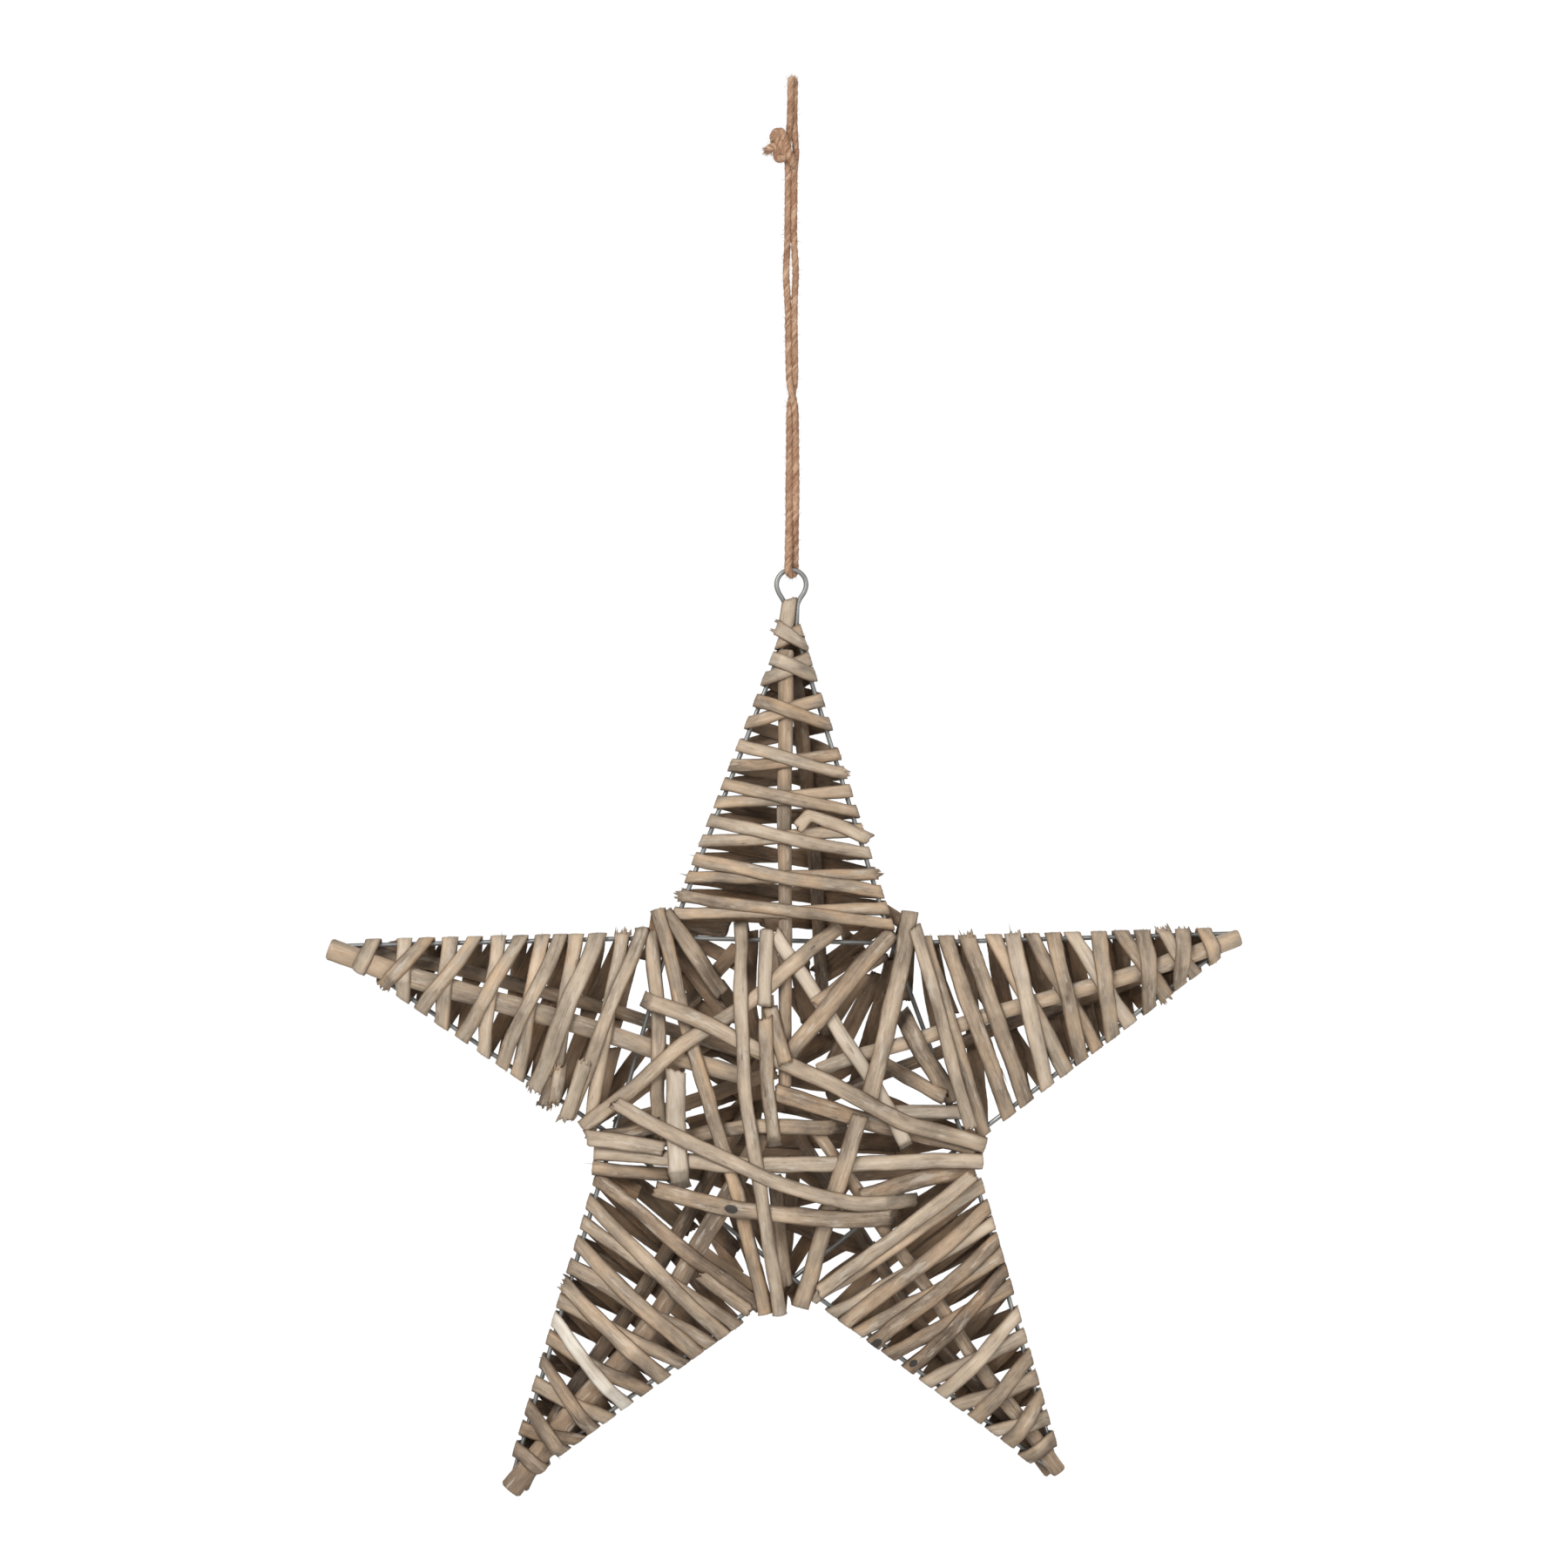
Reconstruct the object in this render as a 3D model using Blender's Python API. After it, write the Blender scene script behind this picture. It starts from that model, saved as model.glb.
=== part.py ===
"""Wicker star ornament: a wire star wound with split willow, hung from a doubled twine loop.

Millimetres inside, metres in the scene. X runs to the right, Z up, and the front faces -Y.
The origin is the top bend of the twine loop, where the ornament hangs.
"""

import math

import bpy
import numpy as np

# Driving dimensions, millimetres
STAR_REACH = 205.0
CROWN_HEIGHT = 22.0
WIRE_DIAMETER = 2.0
ROD_DIAMETER = 6.8
INNER_END_OF_ROD = 0.8
STRIP_WIDTH = 5.8
STRIP_THICKNESS = 1.3
TWINE_DIAMETER = 2.8
TIP_BEND = 1.7
APEX_BEYOND_TIP = 2.0
FIRST_BEND = 5.0
RING_DIAMETER = 13.4
RING_WIRE = 2.1
HANGING_DROP = 216.6
KNOT_BELOW_TOP = 38.0
FOLDED_TAIL = 22.0
CLEARANCE = 0.3

HUNDREDTH = STAR_REACH / 100
WIRE_RADIUS = WIRE_DIAMETER / 2
ROD_RADIUS = ROD_DIAMETER / 2
CROSSING_LIFT = WIRE_RADIUS + 0.25
TIP_HEIGHT = WIRE_RADIUS + ROD_RADIUS + CLEARANCE
FRONT, BACK = -1, 1
EMPTY = -99.0

# Points of the star and its inner corners: angle in degrees and reach as a share of STAR_REACH
TIPS = {
    "top": (89.1, 0.991),
    "left": (162.4, 0.998),
    "bottom_left": (235.2, 1.017),
    "bottom_right": (305.4, 0.998),
    "right": (18.8, 1.021),
}
CORNERS = {
    "top_left": (127.2, 0.406),
    "left": (195.5, 0.380),
    "bottom": (272.4, 0.405),
    "right": (343.4, 0.401),
    "top_right": (53.6, 0.386),
}
WIRE_LOOP = (
    ("top", "top_right", "right"),
    ("bottom_right", "bottom", "left"),
    ("left", "top_left", "top_right"),
    ("right", "right", "bottom"),
    ("bottom_left", "left", "top_left"),
)

# Winding of each arm: the corner at the foot of its first and second wire, then how far from the tip, in
# hundredths of STAR_REACH, the strip crosses each wire on its way out to the tip, and on its way back
WINDINGS = {
    "top": (
        "top_left", "top_right",
        (
            (62.4, 60.5), (54.6, 53.2), (46.8, 43.9), (38.5, 35.6),
            (30.7, 27.8), (21.5, 16.3), (12.0, 7.6), (4.2, 1.5),
        ),
        (
            (1.7, 4.4), (7.6, 11.0), (16.6, 21.5), (26.3, 31.7),
            (34.6, 40.0), (42.4, 48.8), (50.7, 57.1), (58.5, 63.9),
        ),
    ),
    "left": (
        "left", "top_left",
        ((62.9, 57.1), (53.7, 47.3), (44.9, 41.0), (36.6, 32.2), (26.3, 22.4), (16.6, 13.2)),
        ((5.9, 6.8), (11.7, 17.6), (21.0, 27.3), (31.2, 36.6), (41.0, 44.9), (49.3, 52.2), (58.0, 61.0)),
    ),
    "bottom_left": (
        "bottom", "left",
        ((61.0, 63.4), (54.6, 54.1), (48.3, 44.9), (41.5, 37.6), (32.2, 29.8), (22.9, 20.0), (15.6, 10.7)),
        ((6.3, 6.3), (11.7, 15.1), (19.0, 24.9), (27.3, 33.7), (36.6, 41.0), (44.9, 49.8), (51.7, 58.5)),
    ),
    "bottom_right": (
        "bottom", "right",
        ((60.5, 59.0), (55.1, 51.2), (49.3, 44.4), (41.0, 38.0), (31.7, 27.8), (23.9, 19.0), (15.1, 10.7)),
        ((6.3, 6.3), (11.2, 15.1), (19.5, 23.4), (27.8, 32.2), (36.1, 41.5), (44.9, 47.8), (51.7, 54.6)),
    ),
    "right": (
        "right_upper", "right",
        ((63.9, 65.4), (55.1, 54.6), (49.8, 44.4), (42.0, 36.6), (33.7, 28.3), (23.9, 19.0), (15.1, 11.7)),
        ((6.8, 6.8), (11.2, 15.6), (19.5, 23.4), (28.3, 32.7), (37.6, 40.5), (45.9, 49.3), (59.5, 59.0)),
    ),
}

# Rods: plan points from the star's centre in hundredths of STAR_REACH, from the tip inwards
FRONT_RODS = {
    "top": ((0.24, 92.68), (0.00, 82.78), (0.00, 45.80), (0.00, 0.54)),
    "left": ((-97.37, 30.10), (-78.73, 23.66), (-39.56, 12.73), (-7.07, 2.73)),
    "right": ((97.17, 32.54), (71.90, 24.00), (42.68, 15.71), (33.81, 12.93), (15.34, 7.76), (6.65, 4.43)),
    "bottom_right": ((58.59, -81.66), (43.41, -61.17), (27.37, -38.24), (5.56, -6.83)),
    "bottom_left": ((-57.66, -84.24), (-46.00, -69.85), (-34.20, -56.73), (-22.54, -41.02), (-4.20, -7.76)),
}
BACK_RODS = {
    "top": ((1.22, 91.71), (2.98, 82.78), (6.59, 45.80), (8.78, 10.73)),
    "left": ((-96.44, 29.46), (-75.56, 26.78), (-40.49, 17.56), (-6.83, 6.59)),
    "right": ((96.10, 31.71), (71.90, 21.80), (42.68, 11.66), (8.88, -2.59)),
    "bottom_right": ((57.27, -82.39), (45.46, -68.20), (28.29, -50.83), (2.39, -9.61)),
    "bottom_left": ((-56.29, -84.63), (-48.39, -68.73), (-37.32, -53.95), (-26.24, -37.32), (-7.41, -4.05)),
}

# Back strips, laid behind the rods before the core strips: name, width, plan points
BACK_STRIPS = (
    ("back_slope_left", 6.2, ((-24.76, 31.04), (-11.46, 14.04))),
    ("back_rising_left", 5.4, ((-21.43, 17.74), (-9.98, 29.93))),
    ("back_slope_top", 5.0, ((-22.91, 33.45), (-9.61, 26.05))),
    ("back_upright", 4.8, ((-7.02, 33.63), (-7.58, 18.11), (-6.28, 7.95))),
    ("back_rising_right", 4.8, ((6.65, 24.39), (20.70, 34.92))),
    ("back_slant_right", 6.6, ((22.91, 27.72), (18.48, 10.72), (15.15, -0.74))),
    ("back_slant_middle", 6.4, ((19.96, 24.39), (13.30, 11.09), (7.76, 1.48))),
    ("back_band", 6.8, ((-11.83, -11.09), (24.76, -11.83))),
    ("back_slope_low", 5.6, ((-10.53, -26.98), (-4.80, -43.61))),
    ("back_top_band", 6.6, ((-25.13, 34.74), (-12.01, 34.18))),
    ("back_left_slope", 6.0, ((-38.43, -1.85), (-27.72, 12.2))),
    ("back_low_middle", 6.0, ((-0.37, -28.09), (18.66, -35.66))),
    ("back_low_right", 6.2, ((19.96, -29.93), (40.28, -17.0))),
)

# Core strips in the order they are laid: name, width, front plan points, and where the strip ends on the
# back after it folds round at its first and at its last front point (None for a torn or hidden end)
CORE_STRIPS = (
    ("lining_right", 7.0, ((24.39, 16.26), (28.83, 8.87), (36.22, -2.59)), None, None),
    ("lining_bar", 3.4, ((21.43, 5.36), (34.00, -1.85)), None, None),
    ("short_low_right", 7.0, ((40.47, -17.55), (29.20, -18.85), (15.89, -21.99)), None, None),
    ("lining_across", 5.4, ((-29.56, -10.72), (-7.39, -7.39), (13.30, -7.76)), None, None),
    ("cross_low", 7.0, ((-2.22, 0.18), (14.41, -5.36), (27.35, -8.68), (41.02, -12.75)), None, None),
    ("short_right", 5.0, ((21.46, -4.44), (35.61, -4.78)), None, (14.63, -6.83)),
    (
        "side_left", 5.2,
        ((-28.63, 33.27), (-26.78, 18.10), (-26.78, -0.39), (-26.29, -10.49)),
        (-21.46, 23.41), None,
    ),
    ("diagonal_light", 5.2, ((-2.20, 33.37), (7.95, 18.49), (17.76, 3.32), (26.10, -12.20)), None, None),
    ("short_upper_left", 6.6, ((-23.66, 34.88), (-13.17, 20.24)), (-32.20, 19.51), None),
    (
        "side_left_long", 6.2,
        ((-26.34, 35.12), (-22.93, 21.80), (-18.49, 6.63), (-10.88, -18.83), (-4.34, -46.83)),
        (-31.22, 14.63), (13.66, -19.51),
    ),
    ("diagonal_under", 5.4, ((21.43, 28.83), (6.28, 18.85)), None, None),
    ("diagonal_short", 7.2, ((22.91, 33.63), (12.59, 21.80), (-0.92, 5.91)), None, None),
    (
        "diagonal_long", 6.4,
        ((11.95, 34.88), (-7.41, 19.61), (-22.54, 8.88), (-43.22, -8.29)),
        (22.44, 21.46), (-14.63, 10.73),
    ),
    (
        "slant_right_upper", 6.8,
        ((26.61, 38.43), (25.61, 29.22), (21.41, 12.59), (17.76, -1.46)),
        (21.95, 19.51), None,
    ),
    (
        "diagonal_cross", 6.4,
        ((-30.29, 19.61), (-18.83, 15.32), (-0.39, 6.63), (25.51, -6.29), (42.68, -12.00)),
        None, (14.63, -0.98),
    ),
    ("middle_slip", 4.6, ((-2.96, 18.11), (0.18, 6.28)), None, None),
    ("middle_upper", 5.6, ((-3.80, 34.63), (-4.24, 18.05)), (-0.98, 19.51), None),
    ("middle_lower", 5.6, ((-4.05, 15.61), (-3.90, 1.46), (-2.05, -12.20)), None, None),
    ("leaf_left", 5.2, ((-39.73, -10.16), (-33.63, -9.42), (-26.61, -7.02)), None, None),
    ("across", 6.6, ((-41.22, -13.32), (-9.61, -15.17), (42.68, -15.32)), (-19.51, -3.90), (9.76, -19.51)),
    ("across_short", 5.0, ((-40.00, -16.83), (-24.78, -18.34)), (-25.37, -25.37), None),
    ("middle_torn", 5.6, ((-2.15, -18.05), (-0.98, -30.24), (0.20, -42.20)), None, None),
    ("slant_right_lower", 6.8, ((16.20, -5.07), (10.73, -21.07), (2.98, -47.07)), None, (-16.59, -9.76)),
    ("loop_left", 8.4, ((-23.27, 4.63), (-23.27, -7.76), (-21.90, -21.22)), None, None),
    (
        "across_lower", 6.6,
        ((-27.71, -21.07), (-9.61, -25.12), (12.59, -26.78), (24.15, -26.59)),
        None, None,
    ),
    (
        "upright_long", 5.8,
        ((-9.41, 36.10), (-9.22, 18.10), (-8.49, 1.46), (-6.29, -13.32), (-1.22, -47.32)),
        (-5.85, 14.63), (1.95, -17.56),
    ),
    (
        "twig", 4.2,
        ((-36.10, -2.39), (-18.83, -11.66), (-1.32, -19.02), (14.39, -23.56), (28.29, -23.56)),
        None, None,
    ),
)

MATERIALS = {
    "willow": ((0.43, 0.34, 0.25), 0.0, 0.75),
    "willow_light": ((0.53, 0.45, 0.35), 0.0, 0.75),
    "willow_dark": ((0.27, 0.20, 0.15), 0.0, 0.8),
    "rod": ((0.36, 0.27, 0.20), 0.0, 0.7),
    "wire": ((0.44, 0.44, 0.43), 1.0, 0.45),
    "jute": ((0.47, 0.35, 0.22), 0.0, 0.9),
}


def polar(spec):
    """Plan point, from the star's centre, of an angle and a share of the reach."""
    angle, share = spec
    reach = share * STAR_REACH
    return np.array([reach * math.cos(math.radians(angle)), reach * math.sin(math.radians(angle))])


def unit(vector):
    return vector / max(np.linalg.norm(vector), 1e-9)


def across(vector):
    """The plan vector turned a quarter turn anticlockwise."""
    return np.array([-vector[1], vector[0]])


TIP = {name: polar(spec) + unit(polar(spec)) * APEX_BEYOND_TIP for name, spec in TIPS.items()}
CORNER = {name: polar(spec) for name, spec in CORNERS.items()}
CORNER["right_upper"] = CORNER["top_right"]
CENTRE = np.array([-3.0, -(HANGING_DROP + RING_DIAMETER / 2 + 15.0) - TIP["top"][1] + APEX_BEYOND_TIP])


def to_world(points):
    """Moves (x, y, z) millimetres about the star's centre into the shared frame, in metres."""
    shifted = np.asarray(points, float) + np.array([CENTRE[0], 0.0, CENTRE[1]])
    return shifted * 0.001


def make_object(name, points, faces, material):
    """Adds a closed mesh, turned so that its faces look outwards."""
    corners = to_world(points)
    faces = [tuple(face) for face in faces]
    volume = sum(np.dot(corners[a], np.cross(corners[b], corners[c])) for a, b, c in faces)
    if volume < 0:
        faces = [face[::-1] for face in faces]
    mesh = bpy.data.meshes.new(name)
    mesh.from_pydata([tuple(p) for p in corners], [], faces)
    mesh.validate()
    colour, metallic, roughness = MATERIALS[material]
    surface = bpy.data.materials.new(name)
    surface.use_nodes = True
    shader = surface.node_tree.nodes["Principled BSDF"]
    shader.inputs["Base Color"].default_value = (*colour, 1.0)
    shader.inputs["Metallic"].default_value = metallic
    shader.inputs["Roughness"].default_value = roughness
    surface.diffuse_color = (*colour, 1.0)
    mesh.materials.append(surface)
    part = bpy.data.objects.new(name, mesh)
    bpy.context.scene.collection.objects.link(part)
    return part


def tube(points, radius, sides, closed=False, start_angle=0.0):
    """Vertices and triangles of a round bar along a path, its section kept from twisting."""
    points = np.asarray(points, float)
    count = len(points)
    radii = np.broadcast_to(radius, (count,))
    after = np.roll(points, -1, axis=0) - points
    before = points - np.roll(points, 1, axis=0)
    if not closed:
        after[-1] = before[-1]
        before[0] = after[0]
    normal = None
    vertices = []
    for i in range(count):
        tangent = unit(unit(after[i]) + unit(before[i]))
        if normal is None:
            guide = np.array([0.0, 1.0, 0.0])
            if abs(tangent[1]) > 0.9:
                guide = np.array([1.0, 0.0, 0.0])
            normal = unit(np.cross(tangent, guide))
        if closed:
            normal = unit(np.cross(tangent, np.array([0.0, 1.0, 0.0])))
        else:
            normal = unit(normal - tangent * np.dot(normal, tangent))
        side = np.cross(tangent, normal)
        stretch = min(1.0 / max(np.dot(tangent, unit(after[i])), 0.5), 1.4)
        for j in range(sides):
            angle = start_angle + 2 * math.pi * j / sides
            offset = normal * math.cos(angle) * stretch + side * math.sin(angle)
            vertices.append(points[i] + offset * radii[i])
    faces = []
    for i in range(count if closed else count - 1):
        a = i * sides
        b = ((i + 1) % count) * sides
        for j in range(sides):
            k = (j + 1) % sides
            faces.append((a + j, b + j, b + k))
            faces.append((a + j, b + k, a + k))
    if not closed:
        last = (count - 1) * sides
        for j in range(1, sides - 1):
            faces.append((0, j, j + 1))
            faces.append((last, last + j + 1, last + j))
    return np.array(vertices), faces


class Relief:
    """How far out the laid parts reach at each plan cell, kept for the front and for the back."""

    CELL = 0.5

    def __init__(self):
        self.half = max(np.abs(corner).max() for corner in [*TIP.values(), *CORNER.values()]) + 30
        size = int(2 * self.half / self.CELL) + 1
        self.height = {FRONT: np.full((size, size), EMPTY), BACK: np.full((size, size), EMPTY)}

    def index(self, plan):
        cells = np.rint((np.asarray(plan) + self.half) / self.CELL).astype(int)
        return cells[..., 0], cells[..., 1]

    def raise_to(self, side, plan, height):
        rows, columns = self.index(plan)
        heights = np.broadcast_to(height, rows.shape)
        np.maximum.at(self.height[side], (rows.ravel(), columns.ravel()), heights.ravel())

    def reach(self, side, plan):
        return self.height[side][self.index(plan)]


RELIEF = Relief()
WIRE_PLAN = []
LAID_BENDS = []


def add_bar_relief(points, radius):
    """Raises the relief under a round bar given by (x, y, z) points."""
    points = np.asarray(points, float)
    for start, end in zip(points[:-1], points[1:]):
        steps = max(int(np.linalg.norm(end - start) / 0.3), 2)
        along = np.linspace(0, 1, steps)[:, None]
        line = start + (end - start) * along
        sideways = across(unit(np.array([end[0] - start[0], end[2] - start[2]])))
        offsets = np.arange(-radius - 0.25, radius + 0.5, 0.25)
        plan = line[:, None, [0, 2]] + offsets[None, :, None] * sideways
        bulge = np.sqrt(np.maximum(radius**2 - offsets**2, 0.0))
        for side in (FRONT, BACK):
            RELIEF.raise_to(side, plan, side * line[:, 1][:, None] + bulge[None, :])


def wire_path():
    """The closed path of the star's wire: over one crossing and under the next."""
    path = []
    for start, first, second in WIRE_LOOP:
        tip = TIP[start]
        towards = CORNER[first] - tip
        previous = next(row for row in WIRE_LOOP if WIRE_LOOP[(WIRE_LOOP.index(row) + 1) % 5][0] == start)
        backwards = CORNER[previous[2]] - tip
        inward = unit(unit(towards) + unit(backwards))
        sideways = unit(unit(towards) - unit(backwards))
        half_angle = math.acos(np.clip(unit(towards) @ inward, -1, 1))
        centre = TIP_BEND / math.sin(half_angle)
        for share in (-1.0, -0.6, -0.2, 0.2, 0.6, 1.0):
            turn = share * (math.pi / 2 - half_angle)
            spot = tip + inward * (centre - TIP_BEND * math.cos(turn)) + sideways * TIP_BEND * math.sin(turn)
            path.append((*spot, 0.0))
        path.append((*(tip + towards * 0.5), 0.0))
        for corner, lift, near in ((first, -CROSSING_LIFT, towards), (second, CROSSING_LIFT, None)):
            other = CORNER[second] - CORNER[first]
            before = unit(near) if near is not None else unit(other)
            following = TIP[WIRE_LOOP[(WIRE_LOOP.index((start, first, second)) + 1) % 5][0]]
            after = unit(other) if near is not None else unit(following - CORNER[second])
            path.append((*(CORNER[corner] - before * 14.0), 0.0))
            path.append((*(CORNER[corner] - before * 3.0), lift))
            path.append((*(CORNER[corner] + after * 3.0), lift))
            path.append((*(CORNER[corner] + after * 14.0), 0.0))
        path.append((*(CORNER[second] * 0.5 + following * 0.5), 0.0))
    return np.array([(x, y, z) for x, z, y in path])


def lay_wire():
    """Notes where the star's wire runs, and returns its closed path."""
    path = wire_path()
    loop = np.vstack([path, path[:1]])
    add_bar_relief(loop, WIRE_RADIUS)
    for start, end in zip(loop[:-1], loop[1:]):
        steps = max(int(np.linalg.norm(end - start) / 0.5), 2)
        for share in np.linspace(0, 1, steps, endpoint=False):
            spot = start + (end - start) * share
            WIRE_PLAN.append((spot[0], spot[2]))
    return path


def rod_height(plan):
    """Height of a rod's centre line: lowest at the tip, highest in the middle of the star."""
    share = min(np.linalg.norm(plan) / STAR_REACH, 1.0)
    return TIP_HEIGHT + (CROWN_HEIGHT - TIP_HEIGHT) * (1 - share)


ROD_PLAN = []


def lay_rods():
    """Notes where the rods lie, and returns the path of each by its name."""
    laid = {}
    for side, table, label in ((FRONT, FRONT_RODS, "front"), (BACK, BACK_RODS, "back")):
        for arm, plan in table.items():
            path = []
            for x, z in plan:
                spot = np.array([x, z]) * HUNDREDTH
                path.append((spot[0], side * rod_height(spot), spot[1]))
            laid[f"rod_{label}_{arm}"] = np.array(path)
            add_bar_relief(path, ROD_RADIUS)
            for start, end in zip(path[:-1], path[1:]):
                start, end = np.array(start), np.array(end)
                for share in np.linspace(0, 1, int(np.linalg.norm(end - start)) + 2):
                    spot = start + (end - start) * share
                    ROD_PLAN.append((spot[0], spot[2]))
    return laid


def bend_reach(spot, outward, half_width, own_wire, start, nest):
    """How far out from spot the inner face of a bend must lie to clear what it goes round."""
    reach = start
    along = across(outward)
    for x, z in own_wire:
        offset = np.array([x, z]) - spot
        if abs(offset @ along) < half_width + 0.3 and -16.0 < offset @ outward < 5.0:
            reach = max(reach, offset @ outward + WIRE_RADIUS + 0.35)
    for x, z in ROD_PLAN:
        offset = np.array([x, z]) - spot
        if abs(offset @ along) < half_width + 0.6 and abs(offset @ outward) < ROD_RADIUS + 1.0:
            reach = max(reach, offset @ outward + ROD_RADIUS + 0.35)
    for start_edge, end_edge, facing in LAID_BENDS:
        if facing @ outward < 0.25:
            continue
        first = (start_edge - spot) @ along
        last = (end_edge - spot) @ along
        low, high = min(first, last), max(first, last)
        if low > half_width + 0.35 or high < -half_width - 0.35:
            continue
        for share in np.linspace(0, 1, 9):
            edge = start_edge + (end_edge - start_edge) * share
            if abs((edge - spot) @ along) > half_width + 0.9:
                continue
            depth = (edge - spot) @ outward
            if -16.0 < depth < nest:
                reach = max(reach, depth + CLEARANCE)
    return reach


class Ribbon:
    """A strip of split willow as a row of stations: inner point, thickness vector and width vector."""

    def __init__(self, name, width, thickness=STRIP_THICKNESS):
        self.name = name
        self.width = width
        self.thickness = thickness
        self.stations = []

    def bend(self, spot, outward, width, own_wire, start=None):
        """The bend at a plan spot: (inner plan point, outward, half width along the bend)."""
        limit = WIRE_RADIUS + 0.45 if start is None else start
        nest = 4.4 if start is None else 8.0
        reach = bend_reach(spot, outward, width / 2, own_wire, limit, nest)
        inner = spot + outward * reach
        outer = inner + outward * self.thickness
        along = across(outward) * width / 2
        LAID_BENDS.append((outer - along, outer + along, outward))
        return inner, outward, width

    def lay(self, side, plan, first=None, last=None):
        """Lays a taut pass over what is already there, between two bends or free ends.

        first and last are (inner, outward, width) from bend(), or None for a free end."""
        plan = [np.asarray(p, float) for p in plan]
        if first is not None:
            plan[0] = first[0]
        if last is not None:
            plan[-1] = last[0]
        plan = np.array(plan)
        lengths = np.linalg.norm(np.diff(plan, axis=0), axis=1)
        marks = np.concatenate([[0.0], np.cumsum(lengths)])
        total = marks[-1]
        directions = [unit(d) for d in np.diff(plan, axis=0)]
        sideways = []
        for i in range(len(plan)):
            before = directions[max(i - 1, 0)]
            after = directions[min(i, len(directions) - 1)]
            vector = across(unit(before + after)) * self.width * side
            sideways.append(vector)
        if first is not None:
            fixed = across(first[1]) * first[2]
            sideways[0] = fixed * (1 if fixed @ sideways[0] > 0 else -1)
        if last is not None:
            fixed = across(last[1]) * last[2]
            sideways[-1] = fixed * (1 if fixed @ sideways[-1] > 0 else -1)
        sideways = np.array(sideways)

        def at(place):
            spot = np.array([np.interp(place, marks, plan[:, 0]), np.interp(place, marks, plan[:, 1])])
            return spot, self.sideways_at(place, marks, sideways, directions, side)

        samples = np.linspace(0, total, max(int(total / 0.4), 8))
        needed = np.full(len(samples), EMPTY)
        shares = np.linspace(-0.5, 0.5, max(int(self.width / 0.4), 9)) * (1 + 0.5 / self.width)
        for i, place in enumerate(samples):
            spot, vector = at(place)
            line = spot + shares[:, None] * vector
            needed[i] = RELIEF.reach(side, line).max() + CLEARANCE
        for end, bend in ((0, first), (-1, last)):
            near = needed[:3] if end == 0 else needed[-3:]
            floor = WIRE_RADIUS + 0.3 if bend is not None else 0.5
            needed[end] = max(near.max(), floor)
        profile = upper_hull(samples, needed)
        profile = thin_out(profile, samples, needed)
        places = {round(float(s), 4) for s, _ in profile}
        for mark in marks[1:-1]:
            if min(abs(mark - p) for p in places) > 1.2:
                places.add(round(float(mark), 4))
        places = sorted(places)
        heights = np.interp(places, [s for s, _ in profile], [h for _, h in profile])
        self.raise_relief(side, at, profile, total, first, last)
        for place, height in zip(places, heights):
            spot, vector = at(min(place, total))
            thick = np.array([0.0, side * self.thickness, 0.0])
            bend = first if place == places[0] else last if place == places[-1] else None
            if bend is not None:
                thick = np.array([
                    bend[1][0] * self.thickness,
                    side * self.thickness * 0.8,
                    bend[1][1] * self.thickness,
                ])
            inner = np.array([spot[0], side * height, spot[1]])
            self.stations.append((inner, thick, np.array([vector[0], 0.0, vector[1]])))

    def sideways_at(self, place, marks, sideways, directions, side):
        """Width vector part-way: along the bend at an end, square to the strip elsewhere."""
        index = int(np.clip(np.searchsorted(marks, place, side="right") - 1, 0, len(directions) - 1))
        span = marks[index + 1] - marks[index]
        share = (place - marks[index]) / max(span, 1e-9)
        square = across(directions[index]) * self.width * side
        ease = 7.0
        start_weight = max(0.0, 1 - (place - marks[index]) / ease)
        end_weight = max(0.0, 1 - (marks[index + 1] - place) / ease)
        if span < 2 * ease:
            start_weight = max(0.0, 1 - 2 * share)
            end_weight = max(0.0, 2 * share - 1)
        return (
            square * (1 - start_weight - end_weight)
            + sideways[index] * start_weight
            + sideways[index + 1] * end_weight
        )

    def raise_relief(self, side, at, profile, total, first, last):
        shares = np.linspace(-0.5, 0.5, max(int(self.width / 0.3), 9)) * (1 + 0.7 / self.width)
        marks = [s for s, _ in profile]
        heights = [h for _, h in profile]
        slope = np.abs(np.gradient(np.interp(np.linspace(0, total, 64), marks, heights), total / 63)).max()
        for place in np.linspace(0, total, max(int(total / 0.3), 8)):
            spot, vector = at(place)
            top = np.interp(place, marks, heights) + self.thickness + min(slope, 1.0) * 0.15
            RELIEF.raise_to(side, spot + shares[:, None] * vector, top)
        for place, bend in ((0.0, first), (total, last)):
            if bend is None:
                continue
            spot, vector = at(place)
            top = np.interp(place, marks, heights) + self.thickness
            for step in np.arange(0, self.thickness + 0.3, 0.3):
                RELIEF.raise_to(side, spot + bend[1] * step + shares[:, None] * vector, top)


def upper_hull(places, heights):
    """The taut line over the needed heights, as (place, height) corners."""
    hull = []
    for point in zip(places, heights):
        if point[1] <= EMPTY / 2:
            continue
        while len(hull) > 1:
            (x1, y1), (x2, y2) = hull[-2], hull[-1]
            if (x2 - x1) * (point[1] - y1) - (y2 - y1) * (point[0] - x1) >= 0:
                hull.pop()
            else:
                break
        hull.append((float(point[0]), float(point[1])))
    return hull


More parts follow.
